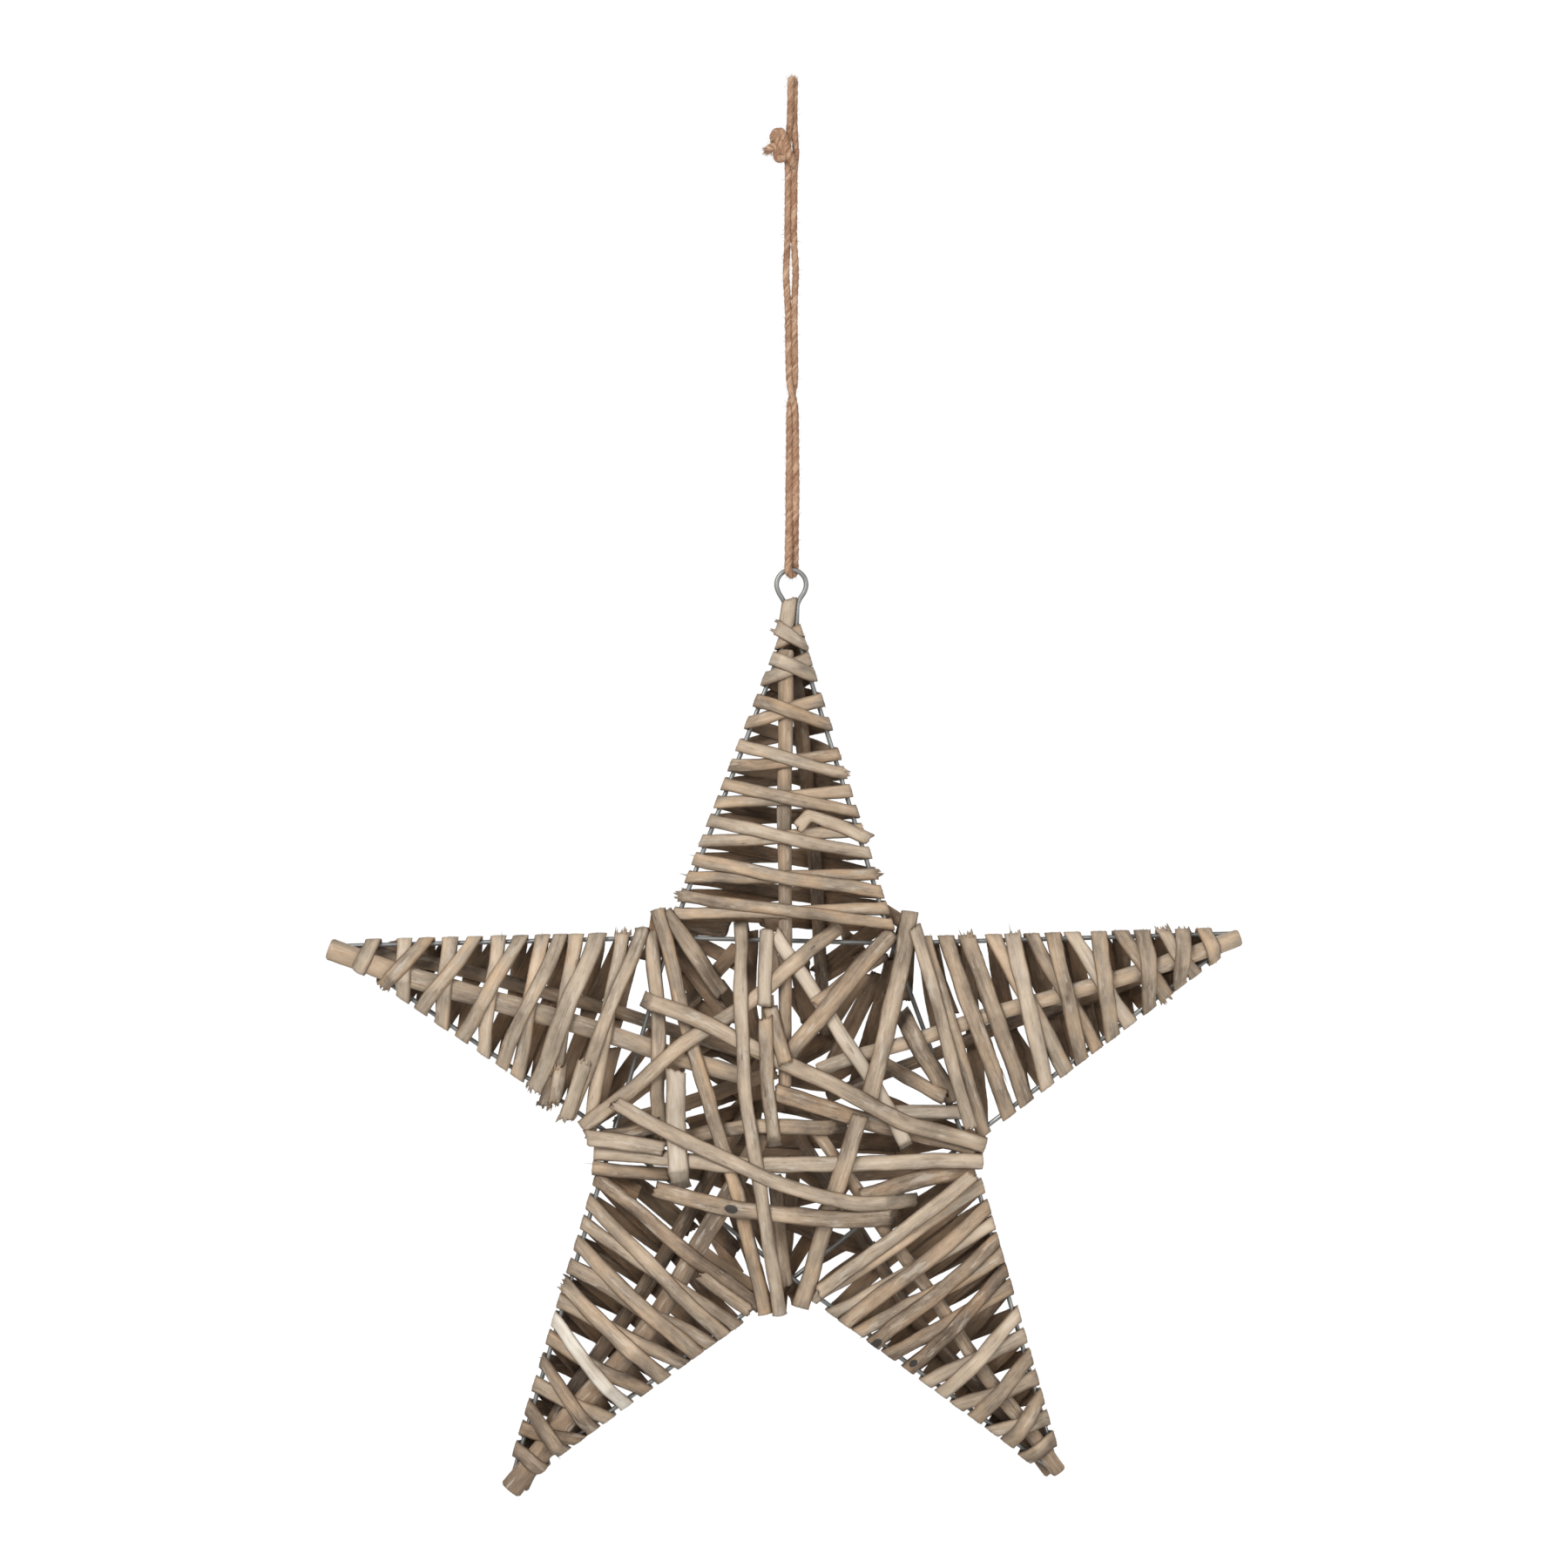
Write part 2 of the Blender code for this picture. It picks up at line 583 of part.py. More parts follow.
def thin_out(hull, samples, needed):
    """Drops corners of the taut line, by running its neighbours' lines on until they meet above it."""
    hull = list(hull)
    while len(hull) > 3:
        best = None
        for i in range(1, len(hull) - 2):
            (x0, y0), (x1, y1), (x2, y2), (x3, y3) = hull[i - 1 : i + 3]
            left = (y1 - y0) / (x1 - x0)
            right = (y3 - y2) / (x3 - x2)
            if left - right < 1e-6:
                continue
            x = (y2 - y1 + left * x1 - right * x2) / (left - right)
            y = y1 + left * (x - x1)
            added = y - np.interp(x, [x1, x2], [y1, y2])
            if best is None or added < best[0]:
                best = (added, i, (x, y))
        allowed = 0.25 if len(hull) <= 4 else 0.6 if len(hull) <= 5 else 9.0
        if best is None or best[0] > allowed:
            break
        hull[best[1] : best[1] + 2] = [best[2]]
    return hull


def spread(places, gap, limit):
    """Moves neighbouring places apart until each pair is at least a strip's width and a gap apart."""
    order = sorted(range(len(places)), key=lambda i: places[i])
    values = [places[i] for i in order]
    for _ in range(200):
        moved = False
        for i in range(len(values) - 1):
            width = strip_width((values[i] + values[i + 1]) / 2)
            short = width + gap - (values[i + 1] - values[i])
            if short > 1e-3:
                values[i] -= short / 2
                values[i + 1] += short / 2
                moved = True
        if values[-1] > limit:
            values[-1] = limit
        if values[0] < FIRST_BEND:
            values[0] = FIRST_BEND
        if not moved:
            break
    result = [0.0] * len(places)
    for position, i in enumerate(order):
        result[i] = values[position]
    return result


def strip_width(place):
    """The split strips are narrower near the tips."""
    return STRIP_WIDTH * min(1.0, 0.78 + 0.22 * place / 45.0)


class ArmWrap:
    """One arm's winding: out to the tip under its own return."""

    def __init__(self, arm):
        first, second, self.outgoing, self.returning = WINDINGS[arm]
        self.arm = arm
        self.tip = TIP[arm]
        self.axis = -unit(self.tip)
        self.feet = (CORNER[first], CORNER[second])
        self.ribbon = Ribbon(f"wrap_{arm}", STRIP_WIDTH)
        self.places = []
        for wire in (0, 1):
            rows = [pair[wire] * HUNDREDTH + APEX_BEYOND_TIP for pair in self.outgoing + self.returning]
            length = (self.feet[wire] - self.tip) @ self.axis
            self.places.append(spread(rows, 0.75, length - 6.0))
        self.count = len(self.outgoing)

    def on_wire(self, wire, place):
        foot = self.feet[wire] - self.tip
        return self.tip + foot * place / (foot @ self.axis)

    def bend(self, wire, index):
        place = self.places[wire][index]
        spot = self.on_wire(wire, place)
        line = unit(self.feet[wire] - self.tip)
        outward = across(line)
        other = self.feet[1 - wire] - self.tip
        if outward @ other > 0:
            outward = -outward
        self.ribbon.width = strip_width(place)
        own = [tuple(spot + line * step) for step in np.arange(-4, 4.1, 1.0)]
        return self.ribbon.bend(spot, outward, self.ribbon.width, own)

    def pass_between(self, side, first, last):
        self.ribbon.lay(side, [first[0], last[0]], first, last)

    def lay_rows(self, start, stop):
        for index in range(start, stop):
            near = self.bend(0, index) if index == start and start == 0 else self.pending
            if index == 0:
                place = self.places[0][0]
                tail = self.on_wire(1, place - 1.0) * 0.4 + self.on_wire(0, place - 1.0) * 0.6
                self.ribbon.lay(BACK, [tail, near[0]], None, near)
            far = self.bend(1, index)
            self.pass_between(FRONT, near, far)
            if index + 1 < len(self.places[0]):
                self.pending = self.bend(0, index + 1)
                self.pass_between(BACK, far, self.pending)
            else:
                place = self.places[1][index] - 1.0
                tail = self.on_wire(0, place) * 0.5 + self.on_wire(1, place) * 0.5
                self.ribbon.lay(BACK, [far[0], tail], far, None)


def lay_core_strip(name, width, plan, start, end):
    ribbon = Ribbon(name, width)
    plan = [np.array(p) * HUNDREDTH for p in plan]
    first = last = None
    if start is not None:
        outward = unit(plan[0] - plan[1])
        first = ribbon.bend(plan[0] - outward * (STRIP_THICKNESS + 1.0), outward, width, WIRE_PLAN, 0.0)
    if end is not None:
        outward = unit(plan[-1] - plan[-2])
        last = ribbon.bend(plan[-1] - outward * (STRIP_THICKNESS + 1.0), outward, width, WIRE_PLAN, 0.0)
    if start is not None:
        inward = unit(np.array(start) * HUNDREDTH - first[0])
        ribbon.lay(BACK, [first[0] + inward * FOLDED_TAIL, first[0]], None, first)
    ribbon.lay(FRONT, plan, first, last)
    if end is not None:
        ribbon.lay(BACK, [last[0], np.array(end) * HUNDREDTH], last, None)
    return ribbon


def lay_back_strip(name, width, plan):
    ribbon = Ribbon(name, width)
    ribbon.lay(BACK, [np.array(p) * HUNDREDTH for p in plan])
    return ribbon


def lay_binding():
    """The upright strip over the ring's legs and the wire's tip. The top arm's first bends go round it."""
    binding = Ribbon("tip_binding", 5.2)
    foot = TIP["top"] + np.array([-2.0, -5.0])
    head = TIP["top"] + np.array([-0.7, 9.1])
    binding.lay(FRONT, [foot, head])
    for sign in (-1, 1):
        edge = np.array([sign * binding.width / 2, 0.0])
        LAID_BENDS.append((foot + edge, head + edge, np.array([float(sign), 0.0])))
    return binding


def lay_star():
    """Lays every strip in order. Returns the wire's path, the rods' paths and the strips by name."""
    wire = lay_wire()
    rods = lay_rods()
    ring, eye = ring_path()
    add_bar_relief(ring, RING_WIRE / 2)
    binding = lay_binding()
    wraps = [ArmWrap(arm) for arm in WINDINGS]
    for wrap in wraps:
        wrap.lay_rows(0, wrap.count)
    strips = [lay_back_strip(*row) for row in BACK_STRIPS]
    strips += [lay_core_strip(*row) for row in CORE_STRIPS]
    for wrap in wraps:
        wrap.lay_rows(wrap.count, len(wrap.places[0]))
        strips.append(wrap.ribbon)
    strips.append(binding)
    return wire, rods, strips, ring, eye


def ring_path():
    """The hanging ring with its two legs, as (x, y, z) about the star's centre."""
    top = TIP["top"]
    radius = RING_DIAMETER / 2
    centre = top + np.array([-0.4, 15.6])
    leg = [(3.4, top[1] - 1.2 - centre[1]), (3.5, -radius - 2.1), (4.6, -radius + 0.7)]
    path = [(centre[0] - x, 0.0, centre[1] + z) for x, z in leg]
    for angle in np.linspace(215, -35, 9):
        turn = math.radians(angle)
        path.append((centre[0] + radius * math.cos(turn), 0.0, centre[1] + radius * math.sin(turn)))
    path += [(centre[0] + x, 0.0, centre[1] + z) for x, z in reversed(leg)]
    return np.array(path), centre + np.array([0.0, radius])


def hump(share, middle, half):
    """A smooth hump of height 1 about the middle."""
    return math.exp(-(((share - middle) / half) ** 2))


def twine_path(eye):
    """The doubled cord: down from the knot, through the ring, up, over the top bend and down to the knot."""
    low = eye[1] - 2.0
    top = eye[1] + HANGING_DROP - 1.4
    knot = top - KNOT_BELOW_TOP

    def strand(height, sign):
        share = (height - low) / (top - low)
        half = TWINE_DIAMETER / 2 + 0.14 + 0.75 * hump(share, 0.606, 0.045) + 0.6 * hump(share, 0.845, 0.02)
        half += 1.6 * math.exp(-(height - low) / 9.0)
        turn = math.radians(70) * math.exp(-(((height - low) / 22.0) ** 2))
        turn += math.pi / (1 + math.exp((share - 0.36) * 60))
        turn += math.radians(52) / (1 + math.exp((0.895 - share) * 120))
        centre = eye[0] + 0.3 * share + 0.45 * math.sin(7 * share)
        return np.array([centre + sign * half * math.cos(turn), sign * half * math.sin(turn), height])

    def round_end(first, last, lift):
        middle = (first + last) / 2
        reach = first - middle
        arch = []
        for angle in (30, 60, 90, 120, 150):
            turn = math.radians(angle)
            rise = np.array([0.0, 0.0, lift * np.linalg.norm(reach) * math.sin(turn)])
            arch.append(middle + reach * math.cos(turn) + rise)
        return arch

    levels = np.linspace(low + 2.0, top - 2.0, 21)
    down = [strand(knot - 1.5, -1)] + [strand(h, -1) for h in levels[levels < knot - 6][::-1]]
    up = [strand(h, 1) for h in levels]
    over = [strand(h, -1) for h in levels[levels > knot + 6][::-1]] + [strand(knot - 1.5 + CLEARANCE, -1)]
    path = down + round_end(down[-1], up[0], -1) + up + round_end(up[-1], over[0], 1) + over
    return np.array(path), knot


def knot_path(eye, height):
    """Three turns of cord beside the left strand, with one short tail up and one to the left."""
    middle = eye[0] - 6.2
    path = [(middle - 2.9, -2.2, height + 16.4)]
    for angle in range(180, 1261, 45):
        turn = math.radians(angle)
        fall = (angle - 180) / 360 * 3.6
        path.append((middle + 2.2 * math.cos(turn), -2.2 + 2.2 * math.sin(turn), height + 13.0 - fall))
    path.append((middle - 4.0, -2.2, height + 3.0))
    path.append((middle - 6.6, -2.0, height + 4.2))
    return np.array(path)


def strip_mesh(ribbon):
    """Vertices and triangles of a strip: a flat inner face, and an outer face about three fifths as wide."""
    rows = []
    for inner, thick, wide in ribbon.stations:
        rows += [inner - wide / 2, inner + wide / 2, inner + thick + wide * 0.3, inner + thick - wide * 0.3]
    faces = []
    for i in range(len(ribbon.stations) - 1):
        a, b = 4 * i, 4 * i + 4
        for j in range(4):
            k = (j + 1) % 4
            faces.append((a + j, b + j, b + k))
            faces.append((a + j, b + k, a + k))
    last = 4 * (len(ribbon.stations) - 1)
    faces += [(0, 1, 2), (0, 2, 3), (last, last + 2, last + 1), (last, last + 3, last + 2)]
    return rows, faces


for old in list(bpy.data.objects):
    bpy.data.objects.remove(old)

wire, rods, strips, ring, eye_top = lay_star()
make_object("wire_frame", *tube(wire, WIRE_RADIUS, 6, closed=True), "wire")
for name, path in rods.items():
    radii = ROD_RADIUS * np.linspace(1.0, INNER_END_OF_ROD, len(path))
    make_object(name, *tube(path, radii, 8, start_angle=math.pi / 8), "rod")
for strip in strips:
    tone = "willow"
    if strip.name.startswith(("lining", "back")):
        tone = "willow_dark"
    if strip.name.endswith("light"):
        tone = "willow_light"
    make_object(strip.name, *strip_mesh(strip), tone)
make_object("hanging_ring", *tube(ring, RING_WIRE / 2, 6), "wire")
cord, knot_height = twine_path(eye_top)
make_object("twine_loop", *tube(cord, TWINE_DIAMETER / 2, 6), "jute")
make_object("twine_knot", *tube(knot_path(eye_top, knot_height), TWINE_DIAMETER / 2, 6), "jute")
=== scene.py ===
"""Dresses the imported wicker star: split willow strips and rods wound on galvanised wire, on a twine loop.

The strips are laid by the same rules and sizes as the solids, in millimetres about the star's centre,
and each is then drawn finely along its own route. The shared frame is in metres.
"""

import math

import bpy
import numpy as np
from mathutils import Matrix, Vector


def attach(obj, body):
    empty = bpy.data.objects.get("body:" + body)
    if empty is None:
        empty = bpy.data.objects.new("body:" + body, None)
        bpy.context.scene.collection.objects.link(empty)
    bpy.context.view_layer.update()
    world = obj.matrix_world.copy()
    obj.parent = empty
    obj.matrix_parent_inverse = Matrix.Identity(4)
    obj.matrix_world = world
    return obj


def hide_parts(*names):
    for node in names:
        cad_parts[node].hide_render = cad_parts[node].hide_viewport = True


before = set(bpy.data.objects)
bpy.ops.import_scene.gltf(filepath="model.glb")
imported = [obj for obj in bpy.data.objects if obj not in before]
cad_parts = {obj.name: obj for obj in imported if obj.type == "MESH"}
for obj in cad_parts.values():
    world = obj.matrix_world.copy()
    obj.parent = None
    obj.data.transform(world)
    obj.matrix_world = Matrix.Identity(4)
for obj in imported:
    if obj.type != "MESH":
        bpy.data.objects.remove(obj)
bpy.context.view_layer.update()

# Driving dimensions, millimetres
STAR_REACH = 205.0
CROWN_HEIGHT = 22.0
WIRE_DIAMETER = 2.0
ROD_DIAMETER = 6.8
STRIP_WIDTH = 5.8
STRIP_THICKNESS = 1.3
BINDING_WIDTH = 6.0
TWINE_DIAMETER = 2.8
TIP_BEND = 1.7
APEX_BEYOND_TIP = 2.0
FIRST_BEND = 5.0
LAST_BEND_FROM_CORNER = 6.0
RING_DIAMETER = 13.4
RING_WIRE = 2.1
HANGING_DROP = 216.6
KNOT_BELOW_TOP = 38.0
FOLDED_TAIL = 22.0
CLEARANCE = 0.3
BEND_CLEARANCE = 0.35
WINDING_GAP = 0.75

# How far inwards a bend looks for what it goes round, and how much further out a laid bend may lie
BEND_DEPTH = 16.0
ARM_NEST = 4.4
CORE_NEST = 8.0

HUNDREDTH = STAR_REACH / 100
WIRE_RADIUS = WIRE_DIAMETER / 2
ROD_RADIUS = ROD_DIAMETER / 2
ARM_BEND_START = WIRE_RADIUS + 0.45
CROSSING_LIFT = WIRE_RADIUS + 0.25
CROSSING_TOP = 3.0
CROSSING_FOOT = 14.0
TIP_HEIGHT = WIRE_RADIUS + ROD_RADIUS + CLEARANCE
FRONT, BACK = -1, 1
EMPTY = -99.0

# Points of the star and its inner corners: angle in degrees and reach as a share of STAR_REACH
TIPS = {
    "top": (89.1, 0.991),
    "left": (162.4, 0.998),
    "bottom_left": (235.2, 1.017),
    "bottom_right": (305.4, 0.998),
    "right": (18.8, 1.021),
}
CORNERS = {
    "top_left": (127.2, 0.406),
    "left": (195.5, 0.380),
    "bottom": (272.4, 0.405),
    "right": (343.4, 0.401),
    "top_right": (53.6, 0.386),
}

# The wire's round: from each tip under the first corner and over the second to the next tip
WIRE_LOOP = (
    ("top", "top_right", "right"),
    ("bottom_right", "bottom", "left"),
    ("left", "top_left", "top_right"),
    ("right", "right", "bottom"),
    ("bottom_left", "left", "top_left"),
)

# Winding of each arm: the corner at the foot of its first and second wire, then how far from the tip, in
# hundredths of STAR_REACH, the strip crosses each wire on its way out to the tip, and on its way back
WINDINGS = {
    "top": (
        "top_left", "top_right",
        (
            (62.4, 60.5), (54.6, 53.2), (46.8, 43.9), (38.5, 35.6),
            (30.7, 27.8), (21.5, 16.3), (12.0, 7.6), (4.2, 1.5),
        ),
        (
            (1.7, 4.4), (7.6, 11.0), (16.6, 21.5), (26.3, 31.7),
            (34.6, 40.0), (42.4, 48.8), (50.7, 57.1), (58.5, 63.9),
        ),
    ),
    "left": (
        "left", "top_left",
        ((62.9, 57.1), (53.7, 47.3), (44.9, 41.0), (36.6, 32.2), (26.3, 22.4), (16.6, 13.2)),
        ((5.9, 6.8), (11.7, 17.6), (21.0, 27.3), (31.2, 36.6), (41.0, 44.9), (49.3, 52.2), (58.0, 61.0)),
    ),
    "bottom_left": (
        "bottom", "left",
        ((61.0, 63.4), (54.6, 54.1), (48.3, 44.9), (41.5, 37.6), (32.2, 29.8), (22.9, 20.0), (15.6, 10.7)),
        ((6.3, 6.3), (11.7, 15.1), (19.0, 24.9), (27.3, 33.7), (36.6, 41.0), (44.9, 49.8), (51.7, 58.5)),
    ),
    "bottom_right": (
        "bottom", "right",
        ((60.5, 59.0), (55.1, 51.2), (49.3, 44.4), (41.0, 38.0), (31.7, 27.8), (23.9, 19.0), (15.1, 10.7)),
        ((6.3, 6.3), (11.2, 15.1), (19.5, 23.4), (27.8, 32.2), (36.1, 41.5), (44.9, 47.8), (51.7, 54.6)),
    ),
    "right": (
        "top_right", "right",
        ((63.9, 65.4), (55.1, 54.6), (49.8, 44.4), (42.0, 36.6), (33.7, 28.3), (23.9, 19.0), (15.1, 11.7)),
        ((6.8, 6.8), (11.2, 15.6), (19.5, 23.4), (28.3, 32.7), (37.6, 40.5), (45.9, 49.3), (59.5, 59.0)),
    ),
}

# Rods: plan points from the star's centre in hundredths of STAR_REACH, from the tip inwards
FRONT_RODS = {
    "top": ((0.24, 92.68), (0.00, 82.78), (0.00, 45.80), (0.00, 0.54)),
    "left": ((-97.37, 30.10), (-78.73, 23.66), (-39.56, 12.73), (-7.07, 2.73)),
    "right": ((97.17, 32.54), (71.90, 24.00), (42.68, 15.71), (33.81, 12.93), (15.34, 7.76), (6.65, 4.43)),
    "bottom_right": ((58.59, -81.66), (43.41, -61.17), (27.37, -38.24), (5.56, -6.83)),
    "bottom_left": ((-57.66, -84.24), (-46.00, -69.85), (-34.20, -56.73), (-22.54, -41.02), (-4.20, -7.76)),
}
BACK_RODS = {
    "top": ((1.22, 91.71), (2.98, 82.78), (6.59, 45.80), (8.78, 10.73)),
    "left": ((-96.44, 29.46), (-75.56, 26.78), (-40.49, 17.56), (-6.83, 6.59)),
    "right": ((96.10, 31.71), (71.90, 21.80), (42.68, 11.66), (8.88, -2.59)),
    "bottom_right": ((57.27, -82.39), (45.46, -68.20), (28.29, -50.83), (2.39, -9.61)),
    "bottom_left": ((-56.29, -84.63), (-48.39, -68.73), (-37.32, -53.95), (-26.24, -37.32), (-7.41, -4.05)),
}

# Back strips, laid behind the rods before the core strips: name, width, plan points
BACK_STRIPS = (
    ("back_slope_left", 6.2, (-24.76, 31.04), (-11.46, 14.04)),
    ("back_rising_left", 5.4, (-21.43, 17.74), (-9.98, 29.93)),
    ("back_slope_top", 5.0, (-22.91, 33.45), (-9.61, 26.05)),
    ("back_upright", 4.8, (-7.02, 33.63), (-7.58, 18.11), (-6.28, 7.95)),
    ("back_rising_right", 4.8, (6.65, 24.39), (20.70, 34.92)),
    ("back_slant_right", 6.6, (22.91, 27.72), (18.48, 10.72), (15.15, -0.74)),
    ("back_slant_middle", 6.4, (19.96, 24.39), (13.30, 11.09), (7.76, 1.48)),
    ("back_band", 6.8, (-11.83, -11.09), (24.76, -11.83)),
    ("back_slope_low", 5.6, (-10.53, -26.98), (-4.80, -43.61)),
    ("back_top_band", 6.6, (-25.13, 34.74), (-12.01, 34.18)),
    ("back_left_slope", 6.0, (-38.43, -1.85), (-27.72, 12.2)),
    ("back_low_middle", 6.0, (-0.37, -28.09), (18.66, -35.66)),
    ("back_low_right", 6.2, (19.96, -29.93), (40.28, -17.0)),
)

# Core strips in the order they are laid: name, width, where the strip ends on the back after it folds round
# at its first and at its last front point (None for a torn or hidden end), and its front plan points
CORE_STRIPS = (
    ("lining_right", 7.0, None, None, (24.39, 16.26), (28.83, 8.87), (36.22, -2.59)),
    ("lining_bar", 3.4, None, None, (21.43, 5.36), (34.00, -1.85)),
    ("short_low_right", 7.0, None, None, (40.47, -17.55), (29.20, -18.85), (15.89, -21.99)),
    ("lining_across", 5.4, None, None, (-29.56, -10.72), (-7.39, -7.39), (13.30, -7.76)),
    ("cross_low", 7.0, None, None, (-2.22, 0.18), (14.41, -5.36), (27.35, -8.68), (41.02, -12.75)),
    ("short_right", 5.0, None, (14.63, -6.83), (21.46, -4.44), (35.61, -4.78)),
    (
        "side_left", 5.2, (-21.46, 23.41), None,
        (-28.63, 33.27), (-26.78, 18.10), (-26.78, -0.39), (-26.29, -10.49),
    ),
    ("diagonal_light", 5.2, None, None, (-2.20, 33.37), (7.95, 18.49), (17.76, 3.32), (26.10, -12.20)),
    ("short_upper_left", 6.6, (-32.20, 19.51), None, (-23.66, 34.88), (-13.17, 20.24)),
    (
        "side_left_long", 6.2, (-31.22, 14.63), (13.66, -19.51),
        (-26.34, 35.12), (-22.93, 21.80), (-18.49, 6.63), (-10.88, -18.83), (-4.34, -46.83),
    ),
    ("diagonal_under", 5.4, None, None, (21.43, 28.83), (6.28, 18.85)),
    ("diagonal_short", 7.2, None, None, (22.91, 33.63), (12.59, 21.80), (-0.92, 5.91)),
    (
        "diagonal_long", 6.4, (22.44, 21.46), (-14.63, 10.73),
        (11.95, 34.88), (-7.41, 19.61), (-22.54, 8.88), (-43.22, -8.29),
    ),
    (
        "slant_right_upper", 6.8, (21.95, 19.51), None,
        (26.61, 38.43), (25.61, 29.22), (21.41, 12.59), (17.76, -1.46),
    ),
    (
        "diagonal_cross", 6.4, None, (14.63, -0.98),
        (-30.29, 19.61), (-18.83, 15.32), (-0.39, 6.63), (25.51, -6.29), (42.68, -12.00),
    ),
    ("middle_slip", 4.6, None, None, (-2.96, 18.11), (0.18, 6.28)),
    ("middle_upper", 5.6, (-0.98, 19.51), None, (-3.80, 34.63), (-4.24, 18.05)),
    ("middle_lower", 5.6, None, None, (-4.05, 15.61), (-3.90, 1.46), (-2.05, -12.20)),
    ("leaf_left", 5.2, None, None, (-39.73, -10.16), (-33.63, -9.42), (-26.61, -7.02)),
    ("across", 6.6, (-19.51, -3.90), (9.76, -19.51), (-41.22, -13.32), (-9.61, -15.17), (42.68, -15.32)),
    ("across_short", 5.0, (-25.37, -25.37), None, (-40.00, -16.83), (-24.78, -18.34)),
    ("middle_torn", 5.6, None, None, (-2.15, -18.05), (-0.98, -30.24), (0.20, -42.20)),
    ("slant_right_lower", 6.8, None, (-16.59, -9.76), (16.20, -5.07), (10.73, -21.07), (2.98, -47.07)),
    ("loop_left", 8.4, None, None, (-23.27, 4.63), (-23.27, -7.76), (-21.90, -21.22)),
    ("across_lower", 6.6, None, None, (-27.71, -21.07), (-9.61, -25.12), (12.59, -26.78), (24.15, -26.59)),
    (
        "upright_long", 5.8, (-5.85, 14.63), (1.95, -17.56),
        (-9.41, 36.10), (-9.22, 18.10), (-8.49, 1.46), (-6.29, -13.32), (-1.22, -47.32),
    ),
    (
        "twig", 4.2, None, None,
        (-36.10, -2.39), (-18.83, -11.66), (-1.32, -19.02), (14.39, -23.56), (28.29, -23.56),
    ),
)

